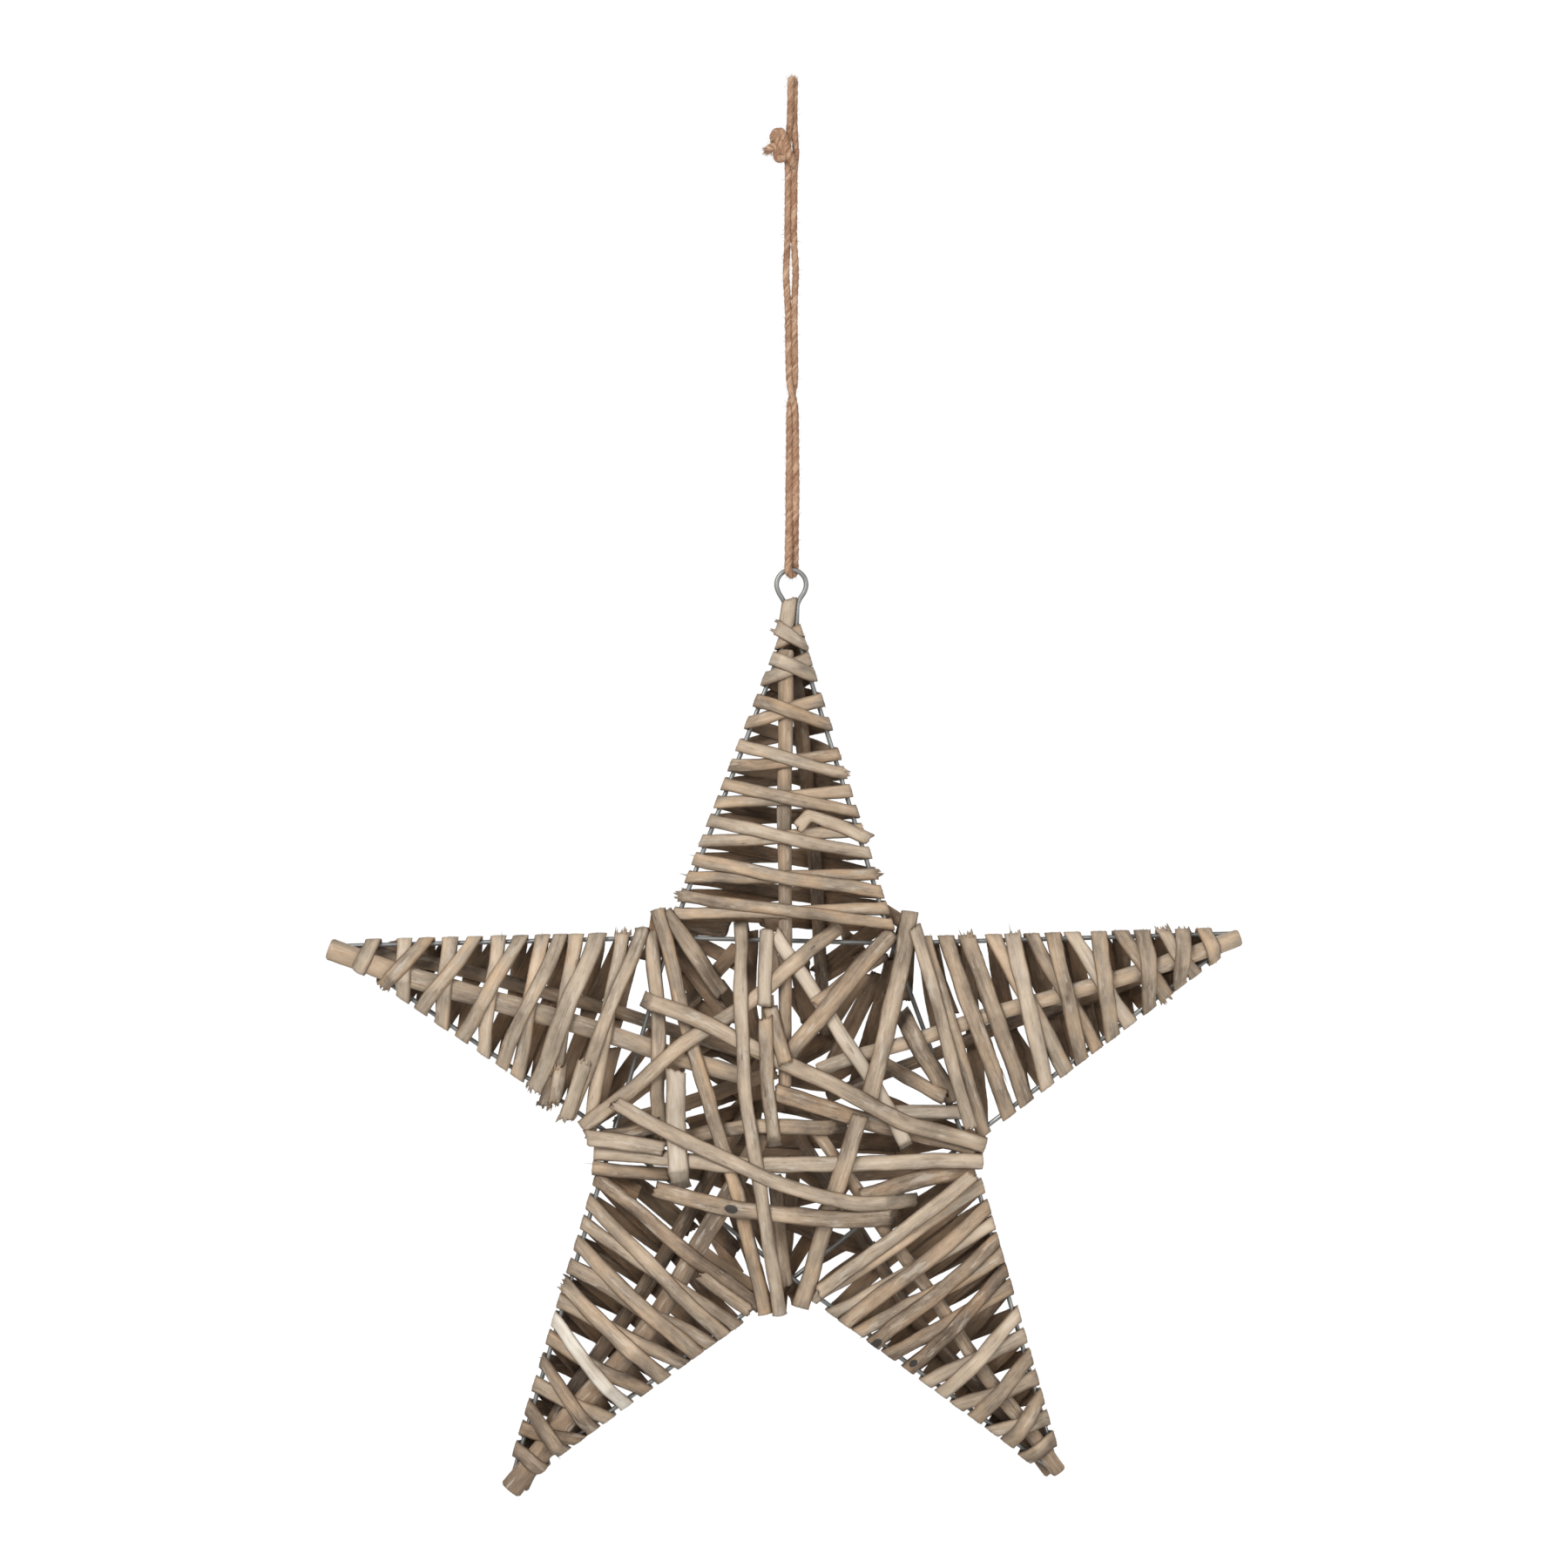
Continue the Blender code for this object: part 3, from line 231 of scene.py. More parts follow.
# Strips deep inside, seen only through the others: name, width, tone, warmth, plan points. Their tones carry
# painted shade: the darker ones stand for strips in the shade of those in front.
INNER_STRIPS = (
    ("inner-left-long", 6.5, 0.55, 0.50, (-36.6, -8.1), (-1.8, 3.5)),
    ("inner-left-low", 6.2, 0.35, 0.60, (-20.7, -7.6), (-0.4, -3.3)),
    ("inner-left-high", 7.0, 0.33, 0.50, (-19.8, 10.3), (-5.5, 3.5)),
    ("inner-upright", 6.2, 0.35, 0.50, (-6.1, 11.1), (-6.7, -9.2)),
    ("inner-top", 9.0, 0.37, 0.50, (3.1, 27.3), (5.5, 14.4)),
    ("inner-middle", 7.0, 0.35, 0.60, (-0.4, 2.2), (11.1, 0.0)),
    ("inner-middle-high", 9.5, 0.35, 0.60, (1.1, 5.5), (13.3, 11.8)),
    ("inner-middle-low", 7.0, 0.47, 0.50, (-3.3, -3.3), (11.1, -6.7)),
    ("inner-right-high", 6.0, 0.61, 0.40, (10.3, 13.3), (17.0, 24.4)),
    ("inner-top-right", 5.5, 0.47, 0.50, (7.0, 22.5), (15.5, 28.1)),
    ("inner-low-left", 8.5, 0.51, 0.50, (-35.8, -18.1), (-20.0, -31.0)),
    ("inner-low-left-slip", 5.5, 0.58, 0.50, (-18.8, -34.0), (-6.7, -42.9)),
    ("inner-low-middle", 5.0, 0.35, 0.50, (6.3, -36.6), (16.3, -32.2)),
    ("inner-left-slope", 6.5, 0.49, 0.60, (-23.3, -16.8), (-5.5, -23.8)),
    ("inner-low-slip", 6.5, 0.35, 0.60, (0.2, -15.2), (9.6, -23.3)),
    ("inner-low-bar", 5.5, 0.37, 0.60, (0.2, -24.8), (11.1, -22.9)),
    ("inner-left-top", 6.0, 0.35, 0.50, (-21.1, 19.2), (-13.3, 15.2)),
    ("inner-corner", 5.0, 0.38, 0.50, (-23.3, 26.6), (-18.7, 18.8)),
    ("inner-right-slip", 6.0, 0.37, 0.50, (9.2, 1.1), (16.6, 5.9)),
    ("inner-left-dark", 6.5, 0.33, 0.60, (-19.8, 5.5), (-8.5, -1.8)),
    ("inner-left-torn", 6.0, 0.46, 0.50, (-14.0, -8.5), (-4.1, 0.4)),
    ("inner-right-long", 6.0, 0.43, 0.50, (23.7, -13.7), (36.6, -11.1)),
    ("inner-right-edge", 5.5, 0.37, 0.50, (26.6, 31.8), (25.5, 18.8)),
    ("inner-right-side", 6.0, 0.47, 0.50, (31.4, 30.7), (35.1, 13.3)),
    ("inner-low-left-dark", 6.5, 0.33, 0.60, (-18.8, -26.6), (-10.3, -35.1)),
    ("inner-high-left", 6.0, 0.37, 0.60, (-18.8, 7.4), (-9.6, 8.1)),
    ("inner-high-middle", 6.0, 0.37, 0.60, (0.6, 20.7), (6.1, 13.3)),
    ("inner-right-line", 4.2, 0.33, 0.60, (29.2, 31.0), (32.5, 12.9)),
    ("inner-low-left-edge", 5.0, 0.49, 0.60, (-18.1, -28.1), (-9.6, -40.3)),
    ("inner-low-right", 5.0, 0.43, 0.60, (23.7, -25.5), (32.5, -32.0)),
    ("inner-slope-end", 6.5, 0.57, 0.40, (-14.4, 22.3), (-10.2, 16.8)),
    ("inner-loop-top", 7.4, 0.65, 0.30, (-23.1, 12.6), (-23.3, 3.1)),
    ("inner-upright-joint", 5.6, 0.59, 0.40, (-3.9, 19.8), (-3.7, 13.0)),
    ("inner-bar", 5.6, 0.57, 0.40, (-12.0, -14.3), (5.0, -14.3)),
    ("inner-right-bar", 4.6, 0.55, 0.40, (13.5, -12.7), (24.0, -12.9)),
    ("inner-shadow", 5.0, 0.23, 0.50, (-15.2, -3.0), (-9.4, -1.6)),
    ("inner-high-right", 5.0, 0.53, 0.50, (21.0, 38.5), (25.8, 35.4)),
    ("inner-high-slip", 4.6, 0.53, 0.50, (-5.4, 36.0), (-1.2, 34.4)),
)

# Odd lengths laid last on the front, the first of them a broken end that stands up in a kink, in the same
# columns. Those whose names end in torn end in loose fibres.
LOOSE_STRIPS = (
    ("kinked-end", 4.8, 0.52, 0.45, (18.0, 53.2), (11.6, 56.4), (5.4, 58.9), (2.6, 55.9)),
    ("inner-winding", 5.6, 0.50, 0.35, (27.7, 34.7), (36.2, 3.7), (39.7, -8.1)),
    ("low-right-winding", 6.3, 0.52, 0.45, (40.0, -18.0), (25.5, -28.6), (7.2, -43.2)),
    ("low-left-winding", 5.2, 0.40, 0.50, (-17.8, -39.0), (-7.4, -47.1)),
    ("left-low-torn", 3.0, 0.36, 0.60, (-49.0, 3.0), (-51.4, -3.6)),
    ("left-mid-torn", 5.2, 0.44, 0.50, (-47.8, 5.0), (-49.0, -2.6)),
    ("left-wide-torn", 6.4, 0.52, 0.30, (-42.6, 6.4), (-46.3, -6.5)),
    ("left-side-slip", 7.0, 0.50, 0.30, (-42.4, -10.4), (-25.6, -12.4)),
)

# Tone (0 dark, 1 pale) and warmth (0 grey, 1 brown) of named strips
STRIP_TONES = {
    "loop_left": (0.66, 0.20),
    "diagonal_light": (0.60, 0.30),
    "middle_upper": (0.58, 0.30),
    "short_right": (0.56, 0.20),
    "twig": (0.50, 0.35),
    "upright_long": (0.50, 0.30),
    "across": (0.54, 0.35),
    "diagonal_long": (0.50, 0.55),
    "side_left_long": (0.44, 0.90),
    "cross_low": (0.36, 0.75),
    "short_low_right": (0.36, 0.80),
    "diagonal_under": (0.40, 0.70),
    "tip_binding": (0.56, 0.30),
}
# Painted shade: the back and lining strips, which lie deep under the others, take this dark tone.
SHADED_TONE = (0.36, 0.50)

# Each arm's winding: middle tone, what it adds to the share of width, and the share of its folds whose
# fibres broke and run on past the wire
WRAP_LOOKS = {
    "wrap_top": (0.44, -0.08, 0.12),
    "wrap_left": (0.52, 0.03, 0.22),
    "wrap_bottom_left": (0.34, 0.04, 0.10),
    "wrap_bottom_right": (0.47, 0.05, 0.12),
    "wrap_right": (0.50, 0.08, 0.26),
}

# Rods that differ: tone, millimetres that stand further out at the tip, and breadth beside depth
# The tones are painted light and shade: the back rods, and the front rods of the top and lower arms under the
# windings, are darker; the lit front rods of the left and right arms are paler.
SHADED_ROD = (0.20, 0.0, 1.0)
ROD_LOOKS = {
    "rod_front_top": (0.32, 2.4, 1.0),
    "rod_front_left": (0.47, 0.0, 1.40),
    "rod_front_right": (0.50, 0.0, 1.12),
    "rod_front_bottom_left": (0.27, 3.4, 1.45),
    "rod_front_bottom_right": (0.30, 0.0, 1.0),
    "rod_back_left": (0.32, 0.0, 1.0),
    "rod_back_bottom_left": (0.20, 2.4, 1.15),
}

# Windings that stand out: strip, place in millimetres about the star's centre, tone, warmth, extra width
MARKED_WINDINGS = (
    ("wrap_bottom_left", (-89.2, -114.2), 0.86, 0.05, 0.0),
    # The dark brown winding on the bottom right arm is painted shade: a winding in shade, given a dark tone.
    ("wrap_bottom_right", (94.5, -79.5), 0.28, 0.90, 0.0),
    ("wrap_left", (-83.8, 55.0), 0.54, 0.30, 0.30),
    ("wrap_top", (3.0, 196.5), 0.58, 0.30, 0.0),
    ("wrap_top", (0.0, 190.0), 0.54, 0.40, 0.05),
    ("wrap_top", (0.0, 182.0), 0.52, 0.40, 0.05),
)

# Knots: strip, place on the front in millimetres about the star's centre, half length, half width
KNOTS = (
    ("across_lower", (-23.2, -50.6), 2.9, 1.9),
    ("wrap_bottom_right", (40.2, -110.6), 1.9, 1.3),
    ("wrap_bottom_right", (56.1, -119.3), 1.7, 1.2),
)


def polar(spec):
    """Plan point, from the star's centre, of an angle and a share of the reach."""
    angle, share = spec
    reach = share * STAR_REACH
    return np.array([reach * math.cos(math.radians(angle)), reach * math.sin(math.radians(angle))])


def on_plan(rows):
    """Plan points in millimetres, of rows in hundredths of STAR_REACH."""
    return [np.array(row) * HUNDREDTH for row in rows]


def unit(vector):
    return vector / max(np.linalg.norm(vector), 1e-9)


def unit_rows(rows):
    return rows / np.maximum(np.linalg.norm(rows, axis=-1, keepdims=True), 1e-9)


def across(vector):
    """The plan vector turned a quarter turn anticlockwise."""
    return np.array([-vector[1], vector[0]])


def between(start, end, count, to_end=True):
    """Evenly spaced points from start to end."""
    return start + (end - start) * np.linspace(0, 1, count, endpoint=to_end)[:, None]


def path_places(path):
    """How far along the path each of its points lies."""
    return np.concatenate([[0.0], np.cumsum(np.linalg.norm(np.diff(path, axis=0), axis=1))])


TIP = {name: polar(spec) + unit(polar(spec)) * APEX_BEYOND_TIP for name, spec in TIPS.items()}
CORNER = {name: polar(spec) for name, spec in CORNERS.items()}

# Where the ring, the binding and the centre of the star lie, millimetres
RING_FROM_TIP = np.array([-0.4, 15.6])
BINDING_FOOT = TIP["top"] + np.array([-2.0, -5.0])
BINDING_HEAD = TIP["top"] + np.array([-0.7, 9.1])
CENTRE = np.array([-3.0, -(HANGING_DROP + RING_DIAMETER / 2 + 15.0) - TIP["top"][1] + APEX_BEYOND_TIP])


def to_world(points):
    """Moves (x, y, z) millimetres about the star's centre into the shared frame, in metres."""
    return (np.asarray(points, float) + np.array([CENTRE[0], 0.0, CENTRE[1]])) * 0.001


class Relief:
    """How far out the laid parts reach at each plan cell, kept for the front and for the back."""

    CELL = 0.5
    MARGIN = 30.0
    BAR_STEP = 0.25

    def __init__(self):
        self.half = max(np.abs(spot).max() for spot in [*TIP.values(), *CORNER.values()]) + self.MARGIN
        size = int(2 * self.half / self.CELL) + 1
        self.height = {side: np.full((size, size), EMPTY) for side in (FRONT, BACK)}

    def index(self, plan):
        cells = np.rint((np.asarray(plan) + self.half) / self.CELL).astype(int)
        return cells[..., 0], cells[..., 1]

    def raise_to(self, side, plan, height):
        rows, columns = self.index(plan)
        heights = np.broadcast_to(height, rows.shape)
        np.maximum.at(self.height[side], (rows.ravel(), columns.ravel()), heights.ravel())

    def reach(self, side, plan):
        return self.height[side][self.index(plan)]

    def add_bar(self, points, radius):
        """Raises the relief under a round bar given by (x, y, z) points."""
        offsets = np.arange(-radius - self.BAR_STEP, radius + 2 * self.BAR_STEP, self.BAR_STEP)
        bulge = np.sqrt(np.maximum(radius**2 - offsets**2, 0.0))
        for start, end in zip(points[:-1], points[1:]):
            line = between(start, end, max(int(np.linalg.norm(end - start) / 0.3), 2))
            sideways = across(unit((end - start)[[0, 2]]))
            plan = line[:, None, [0, 2]] + offsets[None, :, None] * sideways
            for side in (FRONT, BACK):
                self.raise_to(side, plan, side * line[:, 1][:, None] + bulge[None, :])


RELIEF = Relief()
WIRE_PLAN = []
ROD_PLAN = []
LAID_BENDS = []


def wire_path():
    """The closed path of the star's wire: over one crossing and under the next."""
    path = []
    for number, (start, first, second) in enumerate(WIRE_LOOP):
        tip, low_corner, high_corner = TIP[start], CORNER[first], CORNER[second]
        next_tip = TIP[WIRE_LOOP[(number + 1) % len(WIRE_LOOP)][0]]
        away = unit(low_corner - tip)
        back = unit(CORNER[WIRE_LOOP[number - 1][2]] - tip)
        inward = unit(away + back)
        sideways = unit(away - back)
        half_angle = math.acos(away @ inward)
        middle = TIP_BEND / math.sin(half_angle)
        for share in (-1.0, -0.6, -0.2, 0.2, 0.6, 1.0):
            turn = share * (math.pi / 2 - half_angle)
            spot = tip + inward * (middle - TIP_BEND * math.cos(turn)) + sideways * TIP_BEND * math.sin(turn)
            path.append((spot, 0.0))
        path.append((tip + (low_corner - tip) * 0.5, 0.0))
        along = unit(high_corner - low_corner)
        onward = unit(next_tip - high_corner)
        for corner, lift, before, after in (
            (low_corner, -CROSSING_LIFT, away, along), (high_corner, CROSSING_LIFT, along, onward),
        ):
            path.append((corner - before * CROSSING_FOOT, 0.0))
            path.append((corner - before * CROSSING_TOP, lift))
            path.append((corner + after * CROSSING_TOP, lift))
            path.append((corner + after * CROSSING_FOOT, 0.0))
        path.append((high_corner * 0.5 + next_tip * 0.5, 0.0))
    return np.array([(plan[0], height, plan[1]) for plan, height in path])


def lay_wire():
    """Notes where the star's wire runs, and returns its closed path."""
    path = wire_path()
    loop = np.vstack([path, path[:1]])
    RELIEF.add_bar(loop, WIRE_RADIUS)
    for start, end in zip(loop[:-1], loop[1:]):
        steps = max(int(np.linalg.norm(end - start) / 0.5), 2)
        WIRE_PLAN.extend(between(start, end, steps, False)[:, [0, 2]])
    return path


def rod_height(spot):
    """Height of a rod's centre line: lowest at the tip, highest in the middle of the star."""
    share = min(np.linalg.norm(spot) / STAR_REACH, 1.0)
    return TIP_HEIGHT + (CROWN_HEIGHT - TIP_HEIGHT) * (1 - share)


def lay_rods():
    """Notes where the rods lie, and returns the path of each by its name."""
    laid = {}
    for side, label, table in ((FRONT, "front", FRONT_RODS), (BACK, "back", BACK_RODS)):
        for arm, rows in table.items():
            path = np.array([(spot[0], side * rod_height(spot), spot[1]) for spot in on_plan(rows)])
            laid[f"rod_{label}_{arm}"] = path
            RELIEF.add_bar(path, ROD_RADIUS)
            for start, end in zip(path[:-1], path[1:]):
                ROD_PLAN.extend(between(start, end, int(np.linalg.norm(end - start)) + 2)[:, [0, 2]])
    return laid


def bend_reach(spot, outward, half_width, own_wire, start, nest):
    """How far out from spot the inner face of a bend must lie to clear what it goes round.

    A laid bend counts where it lies less than nest further out."""
    reach = start
    along = across(outward)
    rod_room = ROD_RADIUS + 1.0
    for line, radius, side_room, least, most in (
        (own_wire, WIRE_RADIUS, 0.3, -BEND_DEPTH, 5.0), (ROD_PLAN, ROD_RADIUS, 0.6, -rod_room, rod_room),
    ):
        offsets = np.array(line) - spot
        depth = offsets @ outward
        near = (np.abs(offsets @ along) < half_width + side_room) & (depth > least) & (depth < most)
        reach = np.max(depth[near] + radius + BEND_CLEARANCE, initial=reach)
    for first, last, facing in LAID_BENDS:
        offsets = between(first, last, 9) - spot
        aside = offsets @ along
        apart = aside.min() > half_width + BEND_CLEARANCE or aside.max() < -half_width - BEND_CLEARANCE
        if apart or facing @ outward < 0.25:
            continue
        depth = offsets @ outward
        near = (np.abs(aside) <= half_width + 0.9) & (depth > -BEND_DEPTH) & (depth < nest)
        reach = np.max(depth[near] + CLEARANCE, initial=reach)
    return reach


class Pass:
    """One run of a strip over the front or the back, taut over what is already there.

    Each of its two bends is what Ribbon.bend gave, or None for a free end."""

    EASE = 7.0
    SAMPLE = 0.4
    RAISE_STEP = 0.3
    BETWEEN_MARKS = 1.2

    def __init__(self, side, plan, width, bends):
        self.side, self.width, self.bends = side, width, bends
        self.plan = np.array(plan, float)
        for end, bend in zip((0, -1), bends):
            if bend is not None:
                self.plan[end] = bend[0]
        self.marks = path_places(self.plan)
        self.total = self.marks[-1]
        ways = [unit(leg) for leg in np.diff(self.plan, axis=0)]
        self.square = [across(way) * width * side for way in ways]
        self.wide = [
            across(unit(before + after)) * width * side
            for before, after in zip([ways[0], *ways], [*ways, ways[-1]])
        ]
        for end, bend in zip((0, -1), bends):
            if bend is not None:
                fixed = across(bend[1]) * bend[2]
                self.wide[end] = fixed * (1 if fixed @ self.wide[end] > 0 else -1)

    def at(self, place):
        """Plan point and width vector: along the bend at an end, square to the strip elsewhere."""
        spot = np.array([np.interp(place, self.marks, column) for column in self.plan.T])
        leg = int(np.clip(np.searchsorted(self.marks, place, side="right") - 1, 0, len(self.square) - 1))
        start, end = self.marks[leg : leg + 2]
        ease = min(self.EASE, (end - start) / 2)
        first = max(0.0, 1 - (place - start) / ease)
        last = max(0.0, 1 - (end - place) / ease)
        wide = self.square[leg] * (1 - first - last) + self.wide[leg] * first + self.wide[leg + 1] * last
        return spot, wide

    def lanes(self, step, margin):
        """Places across the strip, as shares of its width, with a margin in millimetres."""
        shares = np.linspace(-0.5, 0.5, max(int(self.width / step), 9))
        return (shares * (1 + margin / self.width))[:, None]

    def profile(self):
        """Corners of the taut line over what lies below, as (place, height)."""
        samples = np.linspace(0, self.total, max(int(self.total / self.SAMPLE), 8))
        lanes = self.lanes(self.SAMPLE, 0.5)
        needed = []
        for place in samples:
            spot, wide = self.at(place)
            needed.append(RELIEF.reach(self.side, spot + lanes * wide).max() + CLEARANCE)
        for end, near, bend in ((0, needed[:3], self.bends[0]), (-1, needed[-3:], self.bends[1])):
            needed[end] = max(*near, 0.5 if bend is None else WIRE_RADIUS + 0.3)
        return thin_out(upper_hull(samples, needed))

    def raise_relief(self, profile):
        """Raises the relief to the outer face of the pass, and a little beyond its bends."""
        places, heights = zip(*profile)
        lanes = self.lanes(self.RAISE_STEP, 0.7)
        even = np.interp(np.linspace(0, self.total, 64), places, heights)
        slope = np.abs(np.gradient(even, self.total / 63)).max()
        for place in np.linspace(0, self.total, max(int(self.total / self.RAISE_STEP), 8)):
            spot, wide = self.at(place)
            top = np.interp(place, places, heights) + STRIP_THICKNESS + min(slope, 1.0) * 0.15
            RELIEF.raise_to(self.side, spot + lanes * wide, top)
        for place, bend in zip((0.0, self.total), self.bends):
            if bend is not None:
                spot, wide = self.at(place)
                top = np.interp(place, places, heights) + STRIP_THICKNESS
                for step in np.arange(0, STRIP_THICKNESS + self.RAISE_STEP, self.RAISE_STEP):
                    RELIEF.raise_to(self.side, spot + bend[1] * step + lanes * wide, top)

    def stations(self, profile):
        """Inner point, thickness vector and width vector at each corner of the pass, as rows of nine."""
        places = {round(float(place), 4) for place, _ in profile}
        for mark in self.marks[1:-1]:
            if min(abs(mark - place) for place in places) > self.BETWEEN_MARKS:
                places.add(round(float(mark), 4))
        places = sorted(places)
        rows = []
        for place, height in zip(places, np.interp(places, *zip(*profile))):
            spot, wide = self.at(min(place, self.total))
            out, lean = np.zeros(2), 1.0
            bend = {places[0]: self.bends[0], places[-1]: self.bends[1]}.get(place)
            if bend is not None:
                out, lean = bend[1], 0.8
            thick = (out[0] * STRIP_THICKNESS, self.side * STRIP_THICKNESS * lean, out[1] * STRIP_THICKNESS)
            rows.append((spot[0], self.side * height, spot[1], *thick, wide[0], 0.0, wide[1]))
        return rows


class Ribbon:
    """A strip of split willow: its stations, and for each pass its first station and its side."""

    def __init__(self, name, width):
        self.name = name
        self.width = width
        self.stations = []
        self.passes = []

    def bend(self, spot, outward, wire, start, nest):
        """The bend round a wire at a plan spot: inner plan point, outward direction and width."""
        inner = spot + outward * bend_reach(spot, outward, self.width / 2, wire, start, nest)
        outer = inner + outward * STRIP_THICKNESS
        along = across(outward) * self.width / 2
        LAID_BENDS.append((outer - along, outer + along, outward))
        return inner, outward, self.width

    def lay(self, side, plan, first=None, last=None):
        """Lays one pass between two bends, or free ends where they are None."""
        run = Pass(side, plan, self.width, (first, last))
        profile = run.profile()
        run.raise_relief(profile)
        self.passes.append((len(self.stations), side))
        self.stations += run.stations(profile)


def upper_hull(places, heights):
    """The taut line over the needed heights, as (place, height) corners."""
    hull = []
    for point in zip(places, heights):
        if point[1] <= EMPTY / 2:
            continue
        while len(hull) > 1:
            (x1, y1), (x2, y2) = hull[-2], hull[-1]
            if (x2 - x1) * (point[1] - y1) < (y2 - y1) * (point[0] - x1):
                break
            hull.pop()
        hull.append((float(point[0]), float(point[1])))
    return hull


def thin_out(hull):
    """Drops corners of the taut line, by running its neighbours' lines on until they meet above it."""
    while len(hull) > 3:
        best = None
        for i in range(1, len(hull) - 2):
            (x0, y0), (x1, y1), (x2, y2), (x3, y3) = hull[i - 1 : i + 3]
            left = (y1 - y0) / (x1 - x0)
            right = (y3 - y2) / (x3 - x2)
            if left - right < 1e-6:
                continue
            x = (y2 - y1 + left * x1 - right * x2) / (left - right)
            y = y1 + left * (x - x1)
            added = y - np.interp(x, [x1, x2], [y1, y2])
            if best is None or added < best[0]:
                best = (added, i, (x, y))
        allowed = {4: 0.25, 5: 0.6}.get(len(hull), 9.0)
        if best is None or best[0] > allowed:
            break
        hull[best[1] : best[1] + 2] = [best[2]]
    return hull


def strip_width(place):
    """The split strips are narrower near the tips."""
    return STRIP_WIDTH * min(1.0, 0.78 + 0.22 * place / 45.0)


def spread(places, limit):
    """Moves neighbouring places apart until each pair is at least a strip's width and a gap apart."""
    order = sorted(range(len(places)), key=lambda i: places[i])
    values = [places[i] for i in order]
    for _ in range(200):
        moved = False
        for i in range(len(values) - 1):
            width = strip_width((values[i] + values[i + 1]) / 2)
            short = width + WINDING_GAP - (values[i + 1] - values[i])
            if short > 1e-3:
                values[i] -= short / 2
                values[i + 1] += short / 2
                moved = True
        values[-1] = min(values[-1], limit)
        values[0] = max(values[0], FIRST_BEND)
        if not moved:
            break
    return [value for _, value in sorted(zip(order, values))]


class ArmWrap:
    """One arm's winding: out to the tip under its own return."""

    def __init__(self, arm):
        first, second, outgoing, returning = WINDINGS[arm]
        self.tip = TIP[arm]
        self.axis = -unit(self.tip)
        self.feet = [CORNER[first] - self.tip, CORNER[second] - self.tip]
        self.ribbon = Ribbon(f"wrap_{arm}", STRIP_WIDTH)
        self.count = len(outgoing)
        self.places = []
        for wire, foot in enumerate(self.feet):
            rows = [pair[wire] * HUNDREDTH + APEX_BEYOND_TIP for pair in outgoing + returning]
            self.places.append(spread(rows, foot @ self.axis - LAST_BEND_FROM_CORNER))

    def on_wire(self, wire, place):
        foot = self.feet[wire]
        return self.tip + foot * place / (foot @ self.axis)

    def tail(self, place, share):
        """Where the strip's hidden end lies between the wires, by its share of the way to the second."""
        return self.on_wire(0, place - 1.0) * (1 - share) + self.on_wire(1, place - 1.0) * share

    def bend(self, wire, index):
        place = self.places[wire][index]
        spot = self.on_wire(wire, place)
        line = unit(self.feet[wire])
        outward = across(line)
        if outward @ self.feet[1 - wire] > 0:
            outward = -outward
        self.ribbon.width = strip_width(place)
        own_wire = [spot + line * step for step in np.arange(-4, 4.1, 1.0)]
        return self.ribbon.bend(spot, outward, own_wire, ARM_BEND_START, ARM_NEST)

    def lay_rows(self, start, stop):
        """Lays the front passes of these numbers, each with the back pass that follows it."""
        for index in range(start, stop):
            if index == 0:
                self.near = self.bend(0, 0)
                self.ribbon.lay(BACK, [self.tail(self.places[0][0], 0.4), self.near[0]], None, self.near)
            far = self.bend(1, index)
            self.ribbon.lay(FRONT, [self.near[0], far[0]], self.near, far)
            if index + 1 < len(self.places[0]):
                self.near = self.bend(0, index + 1)
                self.ribbon.lay(BACK, [far[0], self.near[0]], far, self.near)
            else:
                self.ribbon.lay(BACK, [far[0], self.tail(self.places[1][index], 0.5)], far)


def lay_core_strip(name, width, start, end, *rows):
    """Lays a front strip that folds round a wire and runs on to start and end on the back, where given."""
    ribbon = Ribbon(name, width)
    plan = on_plan(rows)
    bends = []
    for tail, spot, inside in ((start, plan[0], plan[1]), (end, plan[-1], plan[-2])):
        outward = unit(spot - inside)
        spot = spot - outward * (STRIP_THICKNESS + 1.0)
        bends.append(None if tail is None else ribbon.bend(spot, outward, WIRE_PLAN, 0.0, CORE_NEST))
    first, last = bends
    if start is not None:
        inward = unit(np.array(start) * HUNDREDTH - first[0])
        ribbon.lay(BACK, [first[0] + inward * FOLDED_TAIL, first[0]], None, first)
    ribbon.lay(FRONT, plan, first, last)
    if end is not None:
        ribbon.lay(BACK, [last[0], np.array(end) * HUNDREDTH], last)
    return ribbon


def lay_open_strip(side, name, width, *rows):
    """Lays a strip on one side only, with both ends free."""
    ribbon = Ribbon(name, width)
    ribbon.lay(side, on_plan(rows))
    return ribbon


def lay_binding():
    """The upright strip over the ring's legs and the wire's tip. The top arm's first bends go round it."""
    binding = Ribbon("tip_binding", BINDING_WIDTH)
    binding.lay(FRONT, [BINDING_FOOT, BINDING_HEAD])
    for sign in (-1.0, 1.0):
        edge = np.array([sign * BINDING_WIDTH / 2, 0.0])
        LAID_BENDS.append((BINDING_FOOT + edge, BINDING_HEAD + edge, np.array([sign, 0.0])))
    return binding


def lay_star(ring):
    """Lays every strip of the star in order. Returns the wire's path, the rods' paths and the strips."""
    wire = lay_wire()
    rods = lay_rods()
    RELIEF.add_bar(ring, RING_WIRE / 2)
    binding = lay_binding()
    wraps = [ArmWrap(arm) for arm in WINDINGS]
    for wrap in wraps:
        wrap.lay_rows(0, wrap.count)
    strips = [lay_open_strip(BACK, *row) for row in BACK_STRIPS]
    strips += [lay_core_strip(*row) for row in CORE_STRIPS]
    for wrap in wraps:
        wrap.lay_rows(wrap.count, len(wrap.places[0]))
        strips.append(wrap.ribbon)
    return wire, rods, [*strips, binding]


